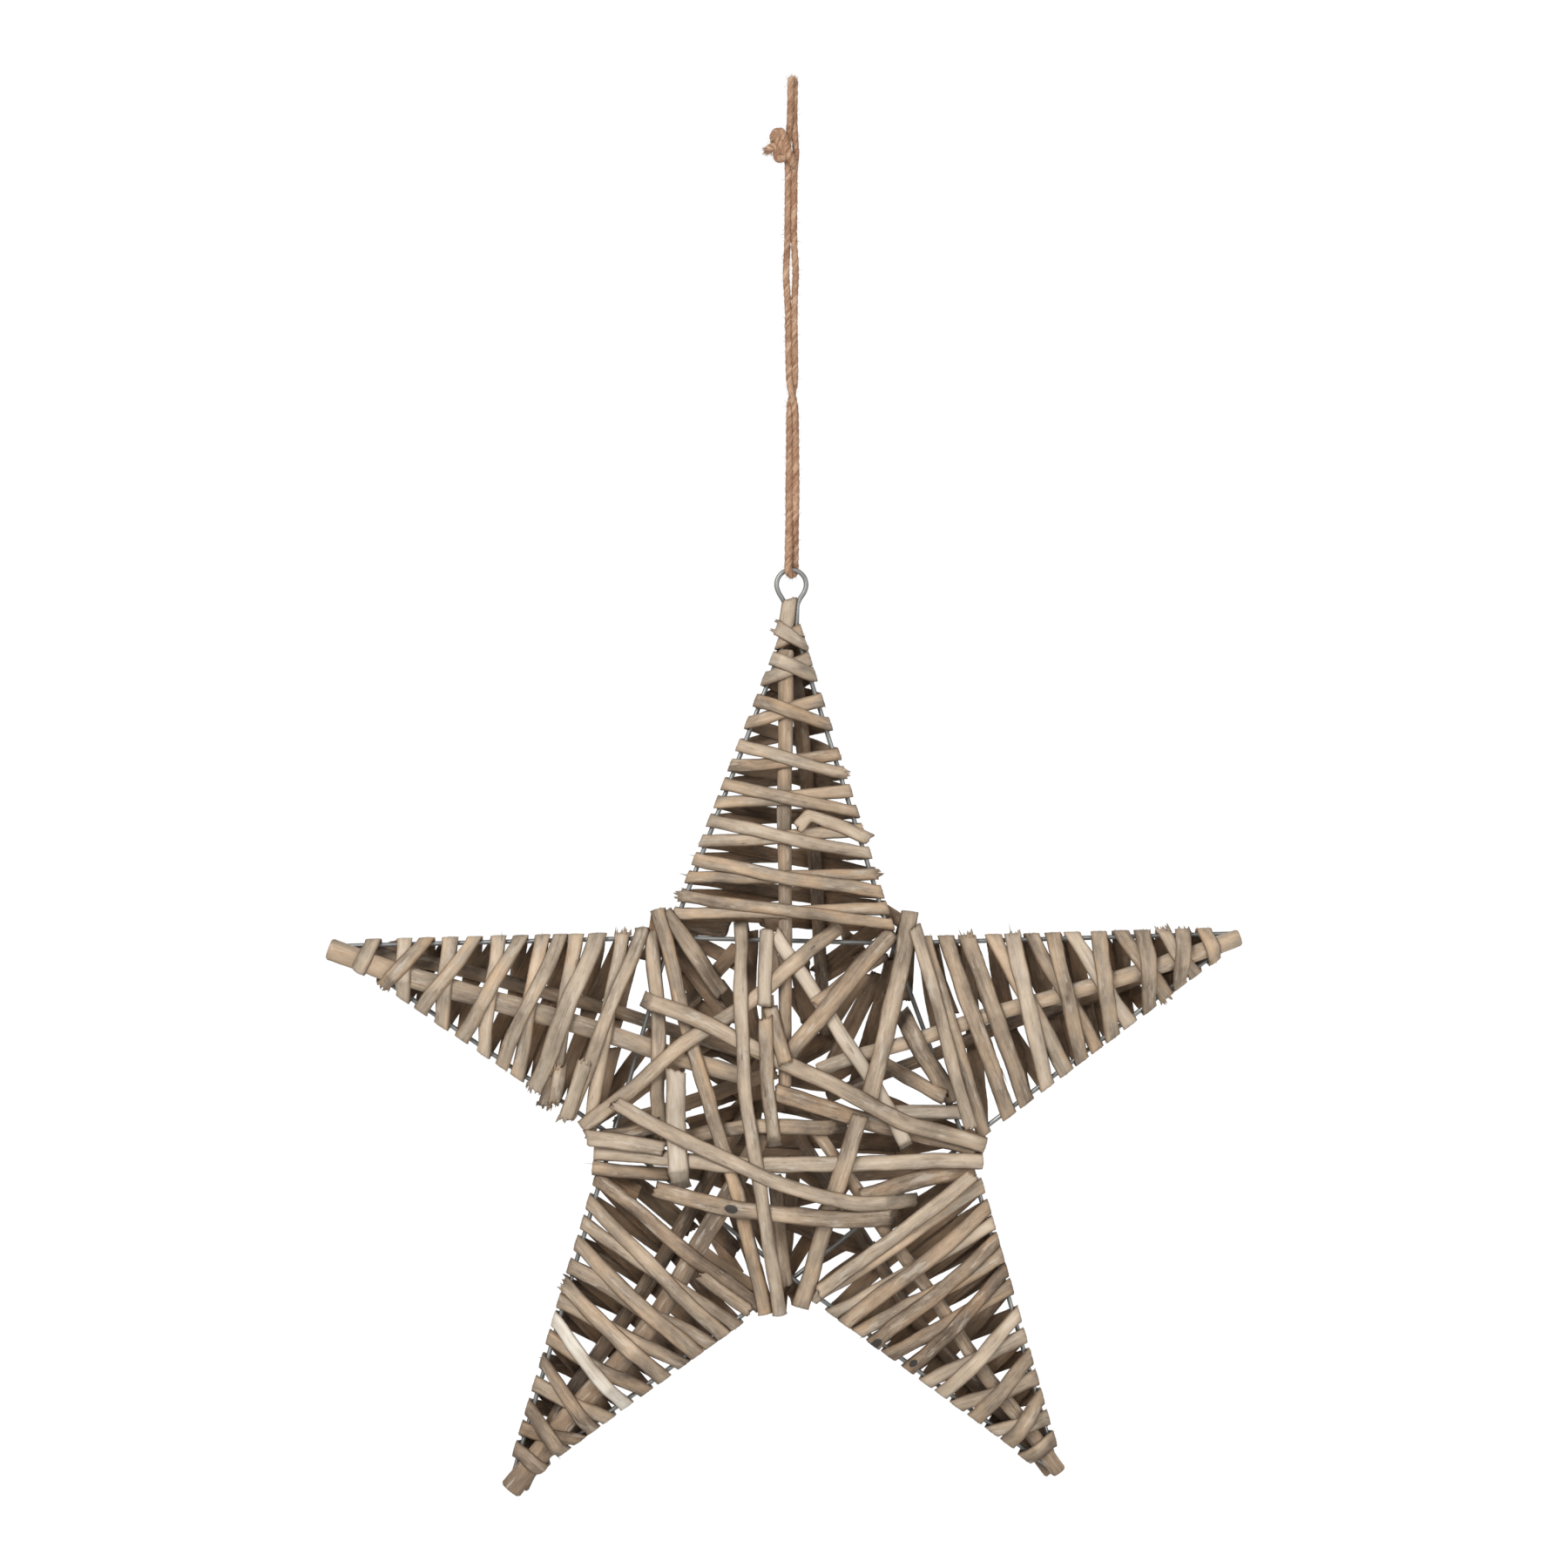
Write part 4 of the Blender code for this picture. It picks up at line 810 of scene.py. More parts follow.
def ring_path():
    """The hanging ring with its two legs, as (x, y, z) about the star's centre, and the top of its eye."""
    radius = RING_DIAMETER / 2
    x, z = TIP["top"] + RING_FROM_TIP
    leg = [(3.0, TIP["top"][1] - 4.5 - z), (3.3, -radius - 2.1), (4.6, -radius + 0.7)]
    path = [(x - aside + 0.6, 0.0, z + up) for aside, up in leg]
    for turn in np.radians(np.linspace(215, -35, 9)):
        path.append((x + radius * math.cos(turn), 0.0, z + radius * math.sin(turn)))
    path += [(x + aside - 0.8, 0.0, z + up) for aside, up in reversed(leg)]
    return np.array(path), np.array([x, z + radius])


def hump(share, middle, half):
    """A smooth hump of height 1 about the middle."""
    return math.exp(-(((share - middle) / half) ** 2))


# Where the two strands of twine part: how far, and the middle and half length as shares of the loop
TWINE_HUMPS = ((0.75, 0.606, 0.045), (0.6, 0.845, 0.02))


def twine_strand(eye, low, top, height, sign):
    """Where one of the two strands runs at a height: side by side, apart at two humps, turned at the ends."""
    share = (height - low) / (top - low)
    half = TWINE_DIAMETER / 2 - 0.06
    for apart, place, length in TWINE_HUMPS:
        half += apart * hump(share, place, length)
    half += 1.6 * math.exp(-(height - low) / 9.0)
    turn = math.radians(55) * hump(height, low, 22.0)
    turn += math.pi / (1 + math.exp((share - 0.36) * 60))
    turn += math.radians(52) / (1 + math.exp((0.895 - share) * 120))
    middle = eye[0] + 0.3 * share + 0.45 * math.sin(7 * share)
    return np.array([middle + sign * half * math.cos(turn), sign * half * math.sin(turn), height])


def round_end(first, last, lift):
    """The arch of cord from one strand to the other, upwards where lift is 1 and downwards where it is -1."""
    middle = (first + last) / 2
    reach = first - middle
    rise = np.array([0.0, 0.0, lift * np.linalg.norm(reach)])
    turns = np.radians([30, 60, 90, 120, 150])
    return [middle + reach * math.cos(turn) + rise * math.sin(turn) for turn in turns]


def twine_path(eye):
    """The doubled cord: down from the knot, through the ring, up, over the top bend and down to the knot."""
    low = eye[1] - 2.0
    top = eye[1] + HANGING_DROP - 1.4
    knot = top - KNOT_BELOW_TOP
    levels = np.linspace(low + 2.0, top - 2.0, 73)
    down = [twine_strand(eye, low, top, level, -1) for level in levels[levels < knot + 6][::-1]]
    up = [twine_strand(eye, low, top, level, 1) for level in levels]
    over = [twine_strand(eye, low, top, level, -1) for level in levels[levels > knot + 3.5][::-1]]
    path = down + round_end(down[-1], up[0], -1) + up + round_end(up[-1], over[0], 1) + over
    return np.array(path), knot


# Fine shape of the strips, rods and cord, millimetres
RING_STEP = 1.3
FOLD_RADIUS = 1.5
EASY_RADIUS = 5.0
SHARP_TURN = 0.8
BEND_STEP = 0.2
FOLD_STEPS = 5
BACK_POINTS = 11
UNDER_POINTS = 4
WANDER = 0.6
TIP_FILL = 1.15
WIDER = 1.08
FOLD_FLAT = 0.85
FOLD_CROWN = 1.1
ROLL = math.radians(6.0)
WAVES = 5
INNER_END_OF_ROD = 0.8
ROD_SIDES = 20
KNOT_MIDDLE = 8.3
TWINE_FULL = (35.0, 75.0)
TWINE_SIDES = 18
PLIES = 3
END_CUT = (0.0, 0.0, 1.0)


def seeded(name):
    """A random source of the strip's own, the same at each run."""
    return np.random.default_rng(sum((i + 1) * ord(letter) for i, letter in enumerate(name)))


def wander(source, places, shortest, longest, lanes=1):
    """Smooth wandering about zero along a row of places, one lane or several."""
    span = source.uniform(math.log(shortest), math.log(longest), (WAVES, lanes))
    phase = source.uniform(0, 2 * math.pi, (WAVES, lanes))
    waves = np.sin(places[:, None, None] * (2 * math.pi / np.exp(span)) + phase)
    return waves.sum(axis=1) / math.sqrt(WAVES) * 0.8


class FineMesh:
    """Points, faces and the three marks that the materials read, gathered for one piece."""

    def __init__(self):
        self.points = []
        self.faces = []
        self.read = {"grain": [], "look": [], "marks": []}
        self.count = 0

    def add(self, points, faces, grain, look, marks):
        amount = len(points)
        self.points.append(np.asarray(points, float))
        self.faces += [tuple(corner + self.count for corner in face) for face in faces]
        for rows, values in zip(self.read.values(), (grain, look, marks)):
            rows.append(np.broadcast_to(np.asarray(values, float), (amount, 3)))
        self.count += amount

    def piece(self, name, material, nodes):
        mesh = bpy.data.meshes.new(name)
        mesh.from_pydata(to_world(np.concatenate(self.points)).tolist(), [], self.faces)
        for label, rows in self.read.items():
            layer = mesh.attributes.new(label, "FLOAT_VECTOR", "POINT")
            layer.data.foreach_set("vector", np.concatenate(rows).astype(np.float32).ravel())
        mesh.polygons.foreach_set("use_smooth", np.ones(len(mesh.polygons), bool))
        mesh.materials.append(material)
        mesh.update()
        thing = bpy.data.objects.new(name, mesh)
        bpy.context.scene.collection.objects.link(thing)
        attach(thing, "root")
        if nodes:
            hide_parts(*nodes)
        return thing


def rounded(rows, middles, step, most, radius_of, steps_of):
    """Rows of numbers along a broken line, its corners cut by curves. Returns the rows and their stations.

    A corner takes at most the share most of each leg, radius_of(turn) of it and steps_of(turn) steps."""
    legs = np.diff(middles, axis=0)
    lengths = np.linalg.norm(legs, axis=1)
    turns = [math.acos(np.clip(unit(leg) @ unit(onward), -1, 1)) for leg, onward in zip(legs[:-1], legs[1:])]
    out = [rows[0]]
    stations = [0.0]
    start = 0.0
    for i, length in enumerate(lengths):
        cut = min(radius_of(turns[i]), most * length, most * lengths[i + 1]) if i < len(turns) else 0.0
        stop = 1.0 - cut / length
        steps = max(math.ceil((stop - start) * length / step), 1)
        for k in range(1, steps + 1):
            share = start + (stop - start) * k / steps
            out.append(rows[i] + (rows[i + 1] - rows[i]) * share)
            stations.append(i + share)
        if i == len(turns):
            break
        begin = rows[i] + (rows[i + 1] - rows[i]) * stop
        start = cut / lengths[i + 1]
        finish = rows[i + 1] + (rows[i + 2] - rows[i + 1]) * start
        steps = steps_of(turns[i])
        for k in range(1, steps + 1):
            t = k / steps
            out.append((1 - t) ** 2 * begin + 2 * t * (1 - t) * rows[i + 1] + t**2 * finish)
            stations.append(i + stop + (1 - stop + start) * t)
    return np.array(out), np.array(stations)


def rounded_path(points, radius, step, closed=False):
    """A broken line with its corners rounded and short steps."""
    points = np.array(points)
    if closed:
        seam = (points[-1] + points[0]) / 2
        points = np.vstack([seam, points, seam])
    path, _ = rounded(
        points, points, step, 0.48,
        lambda turn: radius, lambda turn: max(math.ceil(turn / BEND_STEP), 2),
    )
    return path[:-1] if closed else path


def strip_section():
    """Across a split strip: share of the width, share of the thickness, and how much it is darkened: painted
    shade towards the edges of the face, and on the underside the pith's own colour with painted shade.
    """
    back = np.linspace(-0.5, 0.5, BACK_POINTS)
    edge = np.abs(2 * back)
    width = np.concatenate([back, np.linspace(0.42, -0.42, UNDER_POINTS)])
    height = np.concatenate([0.12 + 1.15 * (1 - edge**2.4) ** 0.6, np.zeros(UNDER_POINTS)])
    pith_and_shade = np.concatenate([0.80 * edge**4, np.ones(UNDER_POINTS)])
    return width, height, pith_and_shade


def band_faces(first, second, sides):
    """Quads between two rings, each given by the number of its first point."""
    return [(first + j, first + (j + 1) % sides, second + (j + 1) % sides, second + j) for j in range(sides)]


def tube_faces(rings, sides):
    """Quads of a tube of rings, and a fan over each end round one more point each."""
    faces = []
    for ring in range(rings - 1):
        faces += band_faces(ring * sides, (ring + 1) * sides, sides)
    tip = rings * sides
    last = tip - sides
    for j in range(sides):
        k = (j + 1) % sides
        faces += [(tip, k, j), (tip + 1, last + j, last + k)]
    return faces


def stacked(shape, *fields):
    """Three numbers at each point, of fields that may be even along or across."""
    return np.stack([np.broadcast_to(field, shape) for field in fields], axis=2)


def with_ends(rings, first, last):
    """Rings of three numbers as one list, and those of the points in the middle of both ends."""
    return np.concatenate([rings.reshape(-1, 3), [first, last]])


def eased(values):
    """The same row with its steps softened."""
    if len(values) < 10:
        return values
    return np.convolve(np.pad(values, 2, mode="edge"), np.ones(5) / 5, "valid")


def looks_along(ribbon, at, looks):
    """The looks of the passes, a number for each ring, given the station of each ring."""
    pass_of = np.zeros(len(at), int)
    for number, (start, _) in enumerate(ribbon.passes):
        pass_of[at > start - 0.5] = number
    return [eased(values) for values in np.array(looks)[pass_of].T]


class StripSkin:
    """The fine surface of one strip: rings of points, with the grain and the look of each point."""

    def __init__(self, ribbon, looks):
        """looks gives the tone, the warmth and the share of width of each pass, in order."""
        self.source = seeded(ribbon.name)
        stations = np.array(ribbon.stations)
        rows, at = rounded(
            stations, stations[:, :3] + stations[:, 3:6] / 2, RING_STEP, 0.45,
            lambda turn: FOLD_RADIUS if turn > SHARP_TURN else EASY_RADIUS, lambda turn: FOLD_STEPS,
        )
        inner, thick, wide = rows[:, :3], rows[:, 3:6], rows[:, 6:9]
        middle = inner + thick / 2
        self.place = path_places(middle)
        self.along = unit_rows(np.gradient(middle, axis=0))
        self.out = unit_rows(thick)
        away = self.note_folds(ribbon, at)
        tone, warmth, breadth = looks_along(ribbon, at, looks)
        width = np.linalg.norm(wide, axis=1)
        width = width * breadth + np.maximum(STRIP_WIDTH - width, 0) * TIP_FILL
        width = width * (1 + 0.05 * self.fold**2)
        thickness = np.linalg.norm(thick, axis=1)[:, None]

        share, height, pith_and_shade = strip_section()
        aside, up, shift = self.section_along(share, height, pith_and_shade, width[:, None], thickness, away)
        self.points = (
            inner[:, None, :]
            + unit_rows(wide)[:, None, :] * (aside + shift)[..., None]
            + self.out[:, None, :] * up[..., None]
        )
        self.tear_ends(share, aside)
        self.tips = [
            self.points[0].mean(axis=0) + self.along[0] * 0.5,
            self.points[-1].mean(axis=0) - self.along[-1] * 0.5,
        ]
        knot = self.raise_knots(ribbon.name)
        self.grain = stacked(
            aside.shape,
            self.place[:, None] + self.source.uniform(0, 900),
            aside + self.source.uniform(-40, 40),
            height * thickness + self.source.uniform(-40, 40),
        )
        self.look = stacked(aside.shape, tone[:, None], warmth[:, None], pith_and_shade)
        cut = np.clip(1 - np.minimum(self.place, self.place[-1] - self.place) / 1.2, 0, 1)
        self.marks = stacked(aside.shape, knot, self.fold[:, None], cut[:, None])

    def note_folds(self, ribbon, at):
        """Notes each fold with the side of the pass before it. Returns how far each ring is from a fold."""
        starts = [start for start, _ in ribbon.passes[1:]]
        sides = [side for _, side in ribbon.passes]
        self.folds = [(np.interp(start - 0.5, at, self.place), side) for start, side in zip(starts, sides)]
        away = np.full(len(at), 99.0)
        for spot, _ in self.folds:
            away = np.minimum(away, np.abs(self.place - spot))
        self.fold = np.clip(1 - away / 5.0, 0, 1)
        return away

    def roam(self, shortest, longest, lanes=1):
        return wander(self.source, self.place, shortest, longest, lanes)

    def section_along(self, share, height, pith_and_shade, width, thickness, away):
        """Millimetres across and out for each point, flat at the folds, and each ring's sideways shift."""
        lanes = len(share)
        calm = np.clip((away - 3.0) / 12.0, 0, 1)[:, None]
        edges = self.roam(14, 80, 2) * 0.06 + self.roam(2.2, 6, 2) * 0.012
        aside = share * (1 + np.where(share < 0, edges[:, :1], edges[:, 1:])) * width
        ridge = self.roam(14, 80, lanes) * 0.055 + self.roam(2.5, 7, lanes) * 0.018
        swell = self.roam(15, 60) * 0.07
        flat = FOLD_FLAT * np.clip(1.6 * self.fold, 0, 1)[:, None] * (height > 0)
        lift = (height * (1 - flat) + FOLD_CROWN * flat) * (1 + swell) + ridge * (1.2 - pith_and_shade)
        roll = self.roam(35, 120) * ROLL * calm
        shift = self.roam(55, 190) * WANDER * calm
        bow = np.abs(self.roam(40, 130)) * 0.2 * calm
        return aside, lift * thickness + aside * np.sin(roll) + bow, shift

    def tear_ends(self, share, aside):
        """Makes both ends slanting and ragged, over three rings each."""
        for end, sign in ((0, -1), (-1, 1)):
            slant = self.source.uniform(-3.0, 3.0) * share
            torn = slant + wander(self.source, aside[end], 0.9, 4.0)[:, 0] * 0.9
            for back_by, part in ((0, 1.0), (1, 0.7), (2, 0.35)):
                self.points[end - back_by * sign] += self.along[end] * (sign * torn * part)[:, None]

    def raise_knots(self, name):
        """Lifts the points at the strip's knots, and returns how far each point belongs to one."""
        knot = np.zeros(self.points.shape[:2])
        forward = self.along[:, None, [0, 2]]
        for strip, spot, half_length, half_width in KNOTS:
            if strip != name:
                continue
            offset = self.points[..., [0, 2]] - np.array(spot)
            down = (offset * forward).sum(axis=2) / half_length
            over = (offset[..., 0] * -forward[..., 1] + offset[..., 1] * forward[..., 0]) / half_width
            reach = np.sqrt(down**2 + over**2)
            facing = (self.points[..., 1] < 0) & (self.out[:, None, 1] < -0.5)
            knot = np.maximum(knot, np.clip(1.6 - reach, 0, 1) * facing)
            self.points += self.out[:, None, :] * (np.clip(1 - reach / 1.6, 0, 1) * facing * 0.5)[..., None]
        return knot

    def draw(self, fine, torn_share, broken):
        """Adds the strip, its lifted fibres and its torn folds, and fibres at both ends where broken."""
        fine.add(
            with_ends(self.points, *self.tips),
            tube_faces(*self.points.shape[:2]),
            with_ends(self.grain, self.grain[0].mean(axis=0), self.grain[-1].mean(axis=0)),
            with_ends(self.look, self.look[0, 0], self.look[-1, 0]),
            with_ends(self.marks, END_CUT, END_CUT),
        )
        self.add_splinters(fine)
        for spot, side in self.folds:
            if self.source.random() < torn_share:
                sign = 1 if side == FRONT else -1
                ring = int(np.searchsorted(self.place, spot - sign * 2.6))
                self.add_torn_end(fine, ring, sign, 4.8)
        if broken:
            self.add_torn_end(fine, 1, -1, 4.0)
            self.add_torn_end(fine, len(self.place) - 2, 1, 4.0)

    def add_sliver(self, fine, ring, lane, heading, length, width, curl=0.35):
        """One lifted fibre: a thin four-sided spike that leaves the strip at a shallow angle and curls up."""
        base = self.points[ring, lane]
        heading = unit(heading)
        side = unit(np.cross(heading, self.out[ring]))
        up = unit(np.cross(side, heading))
        points = []
        for share in (0.0, 0.35, 0.7):
            middle = base + heading * length * share + up * (curl * length * share**2 - 0.12)
            half = width * (1 - share) ** 0.7 / 2
            points += [middle + way * half for way in (-side, up * 0.6, side, -up * 0.6)]
        points.append(base + heading * length + up * curl * length)
        faces = [(3, 2, 1, 0), *band_faces(0, 4, 4), *band_faces(4, 8, 4)]
        faces += [(8 + j, 8 + (j + 1) % 4, 12) for j in range(4)]
        fine.add(points, faces, self.grain[ring, lane], self.look[ring, lane], (0.0, 0.6, 0.4))

    def add_torn_end(self, fine, ring, sign, reach):
        """Fibres of a broken strip that run on straight, each to its own length."""
        source, along, out = self.source, self.along[ring], self.out[ring]
        for lane in source.integers(0, BACK_POINTS, 7):
            heading = along * sign + out * source.uniform(-0.06, 0.10)
            heading = heading + np.cross(along, out) * source.normal(0, 0.20)
            length = source.uniform(0.50, 1.0) * reach
            self.add_sliver(fine, ring, lane, heading, length, source.uniform(0.7, 2.2), 0.08)

    def add_splinters(self, fine):
        """Lifted fibres: a few at each fold, and now and then one along a pass."""
        source, place, fold = self.source, self.place, self.fold
        for i in range(1, len(fold) - 1):
            if fold[i] <= 0.9 or fold[i] < fold[i - 1] or fold[i] <= fold[i + 1]:
                continue
            for _ in range(source.integers(0, 4)):
                lane = source.integers(0, BACK_POINTS)
                ring = int(np.clip(i + source.integers(-5, 6), 0, len(place) - 1))
                sign = 1 if source.random() < 0.5 else -1
                heading = self.along[ring] * sign + self.out[ring] * source.uniform(0.1, 0.5)
                length = source.uniform(0.6, 1.6)
                self.add_sliver(fine, ring, lane, heading, length, source.uniform(0.15, 0.4))
        spot = source.uniform(20, 120)
        while spot < place[-1] - 10:
            ring = int(np.searchsorted(place, spot))
            lane = source.integers(0, BACK_POINTS)
            sign = 1 if source.random() < 0.5 else -1
            heading = self.along[ring] * sign + self.out[ring] * 0.08
            length = source.uniform(3.0, 8.0)
            self.add_sliver(fine, ring, lane, heading, length, source.uniform(0.3, 0.7))
            spot += source.uniform(60, 220)


def path_frames(path, closed=False):
    """Along, normal and sideways vectors at each point, kept from twisting."""
    after = np.roll(path, -1, axis=0) - path
    before = path - np.roll(path, 1, axis=0)
    if not closed:
        after[-1] = before[-1]
        before[0] = after[0]
    along = unit_rows(unit_rows(after) + unit_rows(before))
    depth = np.array([0.0, 1.0, 0.0])
    guide = depth if abs(along[0][1]) < 0.9 else np.array([1.0, 0.0, 0.0])
    normal = unit(np.cross(along[0], guide))
    normals = []
    for direction in along:
        if closed:
            normal = np.cross(direction, depth)
        normal = unit(normal - direction * (direction @ normal))
        normals.append(normal)
    normals = np.array(normals)
    return along, normals, np.cross(along, normals)


def side_angles(sides):
    return 2 * math.pi * np.arange(sides) / sides


def round_points(path, radii, closed=False):
    """Rings of points about a path; radii has a row for each ring and a column for each side."""
    _, normals, sideways = path_frames(path, closed)
    angles = side_angles(radii.shape[1])[:, None]
    spokes = np.cos(angles) * normals[:, None, :] + np.sin(angles) * sideways[:, None, :]
    return path[:, None, :] + spokes * radii[..., None]


def draw_bar(fine, path, radii, look, source, closed=False):
    """A bar with its grain lengthwise, cut at both ends unless it is closed."""
    rings, sides = radii.shape
    points = round_points(path, radii, closed)
    place = path_places(path) + source.uniform(0, 900)
    angles = side_angles(sides)
    grain = stacked(radii.shape, place[:, None], radii * np.cos(angles), radii * np.sin(angles))
    if closed:
        faces = []
        for ring in range(rings):
            faces += band_faces(ring * sides, (ring + 1) % rings * sides, sides)
        fine.add(points.reshape(-1, 3), faces, grain.reshape(-1, 3), look, (0, 0, 0))
        return
    fine.add(
        with_ends(points, path[0], path[-1]),
        tube_faces(rings, sides),
        with_ends(grain, (place[0], 0, 0), (place[-1], 0, 0)),
        look,
        with_ends(np.zeros_like(grain), END_CUT, END_CUT),
    )


def draw_rod(fine, name, path):
    """A willow rod: slightly crooked, with ridges, a clean cut at the tip and a thinner inner end."""
    source = seeded(name)
    # The tone carries painted light and shade from the rod tables.
    tone, reach, breadth = ROD_LOOKS.get(name, SHADED_ROD)
    path = rounded_path([path[0] + unit(path[0] - path[1]) * reach, *path[1:]], 14.0, 1.6)
    place = path_places(path)
    total = place[-1]
    ease = np.clip(np.minimum(place, total - place) / 25.0, 0, 1)[:, None]
    path[:, [0, 2]] += wander(source, place, 60, 160, 2) * 0.5 * ease
    taper = np.interp(place, [0, total], [1.0, INNER_END_OF_ROD])[:, None] * ROD_RADIUS
    ridges = wander(source, place, 20, 90, ROD_SIDES) * 0.05 + wander(source, place, 5, 12, ROD_SIDES) * 0.02
    ridges = (ridges + np.roll(ridges, 1, axis=1)) / 2
    radii = taper * (1 + ridges * 0.6) + wander(source, place, 12, 50) * 0.10
    for end, following in ((0, 1), (-1, -2)):
        radii[end] *= 0.86
        path[end] = path[following] + (path[end] - path[following]) * 0.6
    angles = side_angles(ROD_SIDES)
    oval = 1 / np.hypot(np.cos(angles) / breadth, np.sin(angles))
    look = (tone + 0.03 * source.uniform(-1, 1), 0.65, 0.0)
    draw_bar(fine, path, radii * oval, look, source)


def draw_metal(fine, name, path, radius, sides, closed=False):
    """A round bar of wire along a path."""
    radii = np.full((len(path), sides), radius)
    draw_bar(fine, path, radii, (0.5, 0.5, 0.0), seeded(name), closed)


def draw_twine(fine, name, path, lay_length=11.0, fatness=0.98, thinning=0.0):
    """Three-ply cord: each ply a lobe that turns along the length. Returns the cord's middle line."""
    path = rounded_path(path, 4.0, 0.7)
    place = path_places(path)
    turned = side_angles(TWINE_SIDES) - place[:, None] * 2 * math.pi / lay_length
    lobe = np.abs(np.cos(turned * PLIES / 2))
    slack = wander(seeded(name), place, 12, 60) * 0.04
    radii = TWINE_DIAMETER / 2 * (fatness - 0.12 + 0.24 * lobe + slack)
    radii = radii * np.interp(path[:, 2], path[:, 2].min() + np.array(TWINE_FULL), (1.16, 1.0))[:, None]
    if thinning:
        radii = radii * np.clip((np.minimum(place, place[-1] - place) + 0.5) / thinning, 0.15, 1)[:, None]
    grain = stacked(radii.shape, place[:, None], radii * np.cos(turned), radii * np.sin(turned))
    fine.add(
        with_ends(round_points(path, radii), path[0], path[-1]),
        tube_faces(*radii.shape),
        with_ends(grain, grain[0, 0], grain[-1, -1]),
        (0.5, 0.7, 0.0),
        with_ends(stacked(radii.shape, lobe, lobe, lobe), np.ones(3), np.ones(3)),
    )
    return path


def knot_shape(eye, height):
    """The knot as it shows: a strand that rises to a tight turn, a lower turn, and a tail to the left."""
    rows = (
        (1.0, -1.7, -10.6), (0.6, -2.2, -7.6), (-0.9, -3.0, -4.6), (-2.6, -3.4, -0.4), (-3.2, -3.9, 3.2),
        (-4.6, -3.6, 5.6), (-7.0, -2.8, 5.2), (-8.0, -1.4, 2.6), (-6.4, 0.4, 1.0), (-4.2, 0.2, 2.6),
        (-4.6, -1.0, 5.0), (-6.6, -3.6, 3.4), (-5.6, -4.2, 0.2), (-3.8, -2.8, -2.2), (-3.0, -2.6, -5.2),
        (-5.0, -3.0, -6.8), (-6.6, -3.2, -4.8), (-5.8, -4.0, -2.2), (-7.6, -4.0, -1.0), (-9.6, -3.4, -2.0),
        (-11.2, -2.8, -3.4),
    )
    return np.array([(eye[0] + x, y, height + KNOT_MIDDLE + z) for x, y, z in rows])


def add_fibre(fine, start, heading, length, curl, width, tone):
    """One loose fibre: a thin three-sided thread that curls as it goes."""
    points = [start]
    for _ in range(4):
        points.append(points[-1] + heading * length / 4)
        heading = unit(heading + curl)
    _, normals, sideways = path_frames(np.array(points))
    rings = []
    faces = [(0, 2, 1)]
    last = len(points) - 1
    for i, point in enumerate(points):
        half = width / 2 * (1 - 0.7 * i / last)
        for angle in (0.0, 2.1, 4.2):
            rings.append(point + (normals[i] * math.cos(angle) + sideways[i] * math.sin(angle)) * half)
        if i < last:
            faces += band_faces(3 * i, 3 * i + 3, 3)
    faces.append((3 * last, 3 * last + 1, 3 * last + 2))
    fine.add(rings, faces, (start[2], 0.0, 0.0), (tone, 0.6, 0.0), (0, 0, 0))


def fray_end(fine, path, name, amount, longest):
    """A cord's end that opens into loose fibres."""
    source = seeded(name)
    along = unit(path[-1] - path[-4])
    for _ in range(amount):
        aside = source.normal(0, 1, 3)
        start = path[-1] - along * source.uniform(0, 1.2) + aside * TWINE_DIAMETER * 0.16
        length = source.uniform(0.35, 1.0) * longest
        curl = source.normal(0, 0.3, 3) * 0.4
        width = source.uniform(0.20, 0.45)
        add_fibre(fine, start, unit(along + aside * 0.45), length, curl, width, source.uniform(0.1, 0.9))


def draw_fuzz(fine, path, amount, name, longest):
    """Loose ends of fibre that stand off the cord."""
    source = seeded(name)
    along, normals, sideways = path_frames(path)
    for _ in range(amount):
        i = source.integers(2, len(path) - 2)
        angle = source.uniform(0, 2 * math.pi)
        out = normals[i] * math.cos(angle) + sideways[i] * math.sin(angle)
        length = source.uniform(1.0, longest)
        heading = unit(out * source.uniform(0.05, 0.6) + along[i] * source.uniform(-1, 1))
        curl = source.normal(0, 0.35, 3) * 0.5
        width = source.uniform(0.09, 0.19)
        start = path[i] + out * TWINE_DIAMETER * 0.45
        add_fibre(fine, start, heading, length, curl, width, source.uniform(0.0, 1.0))


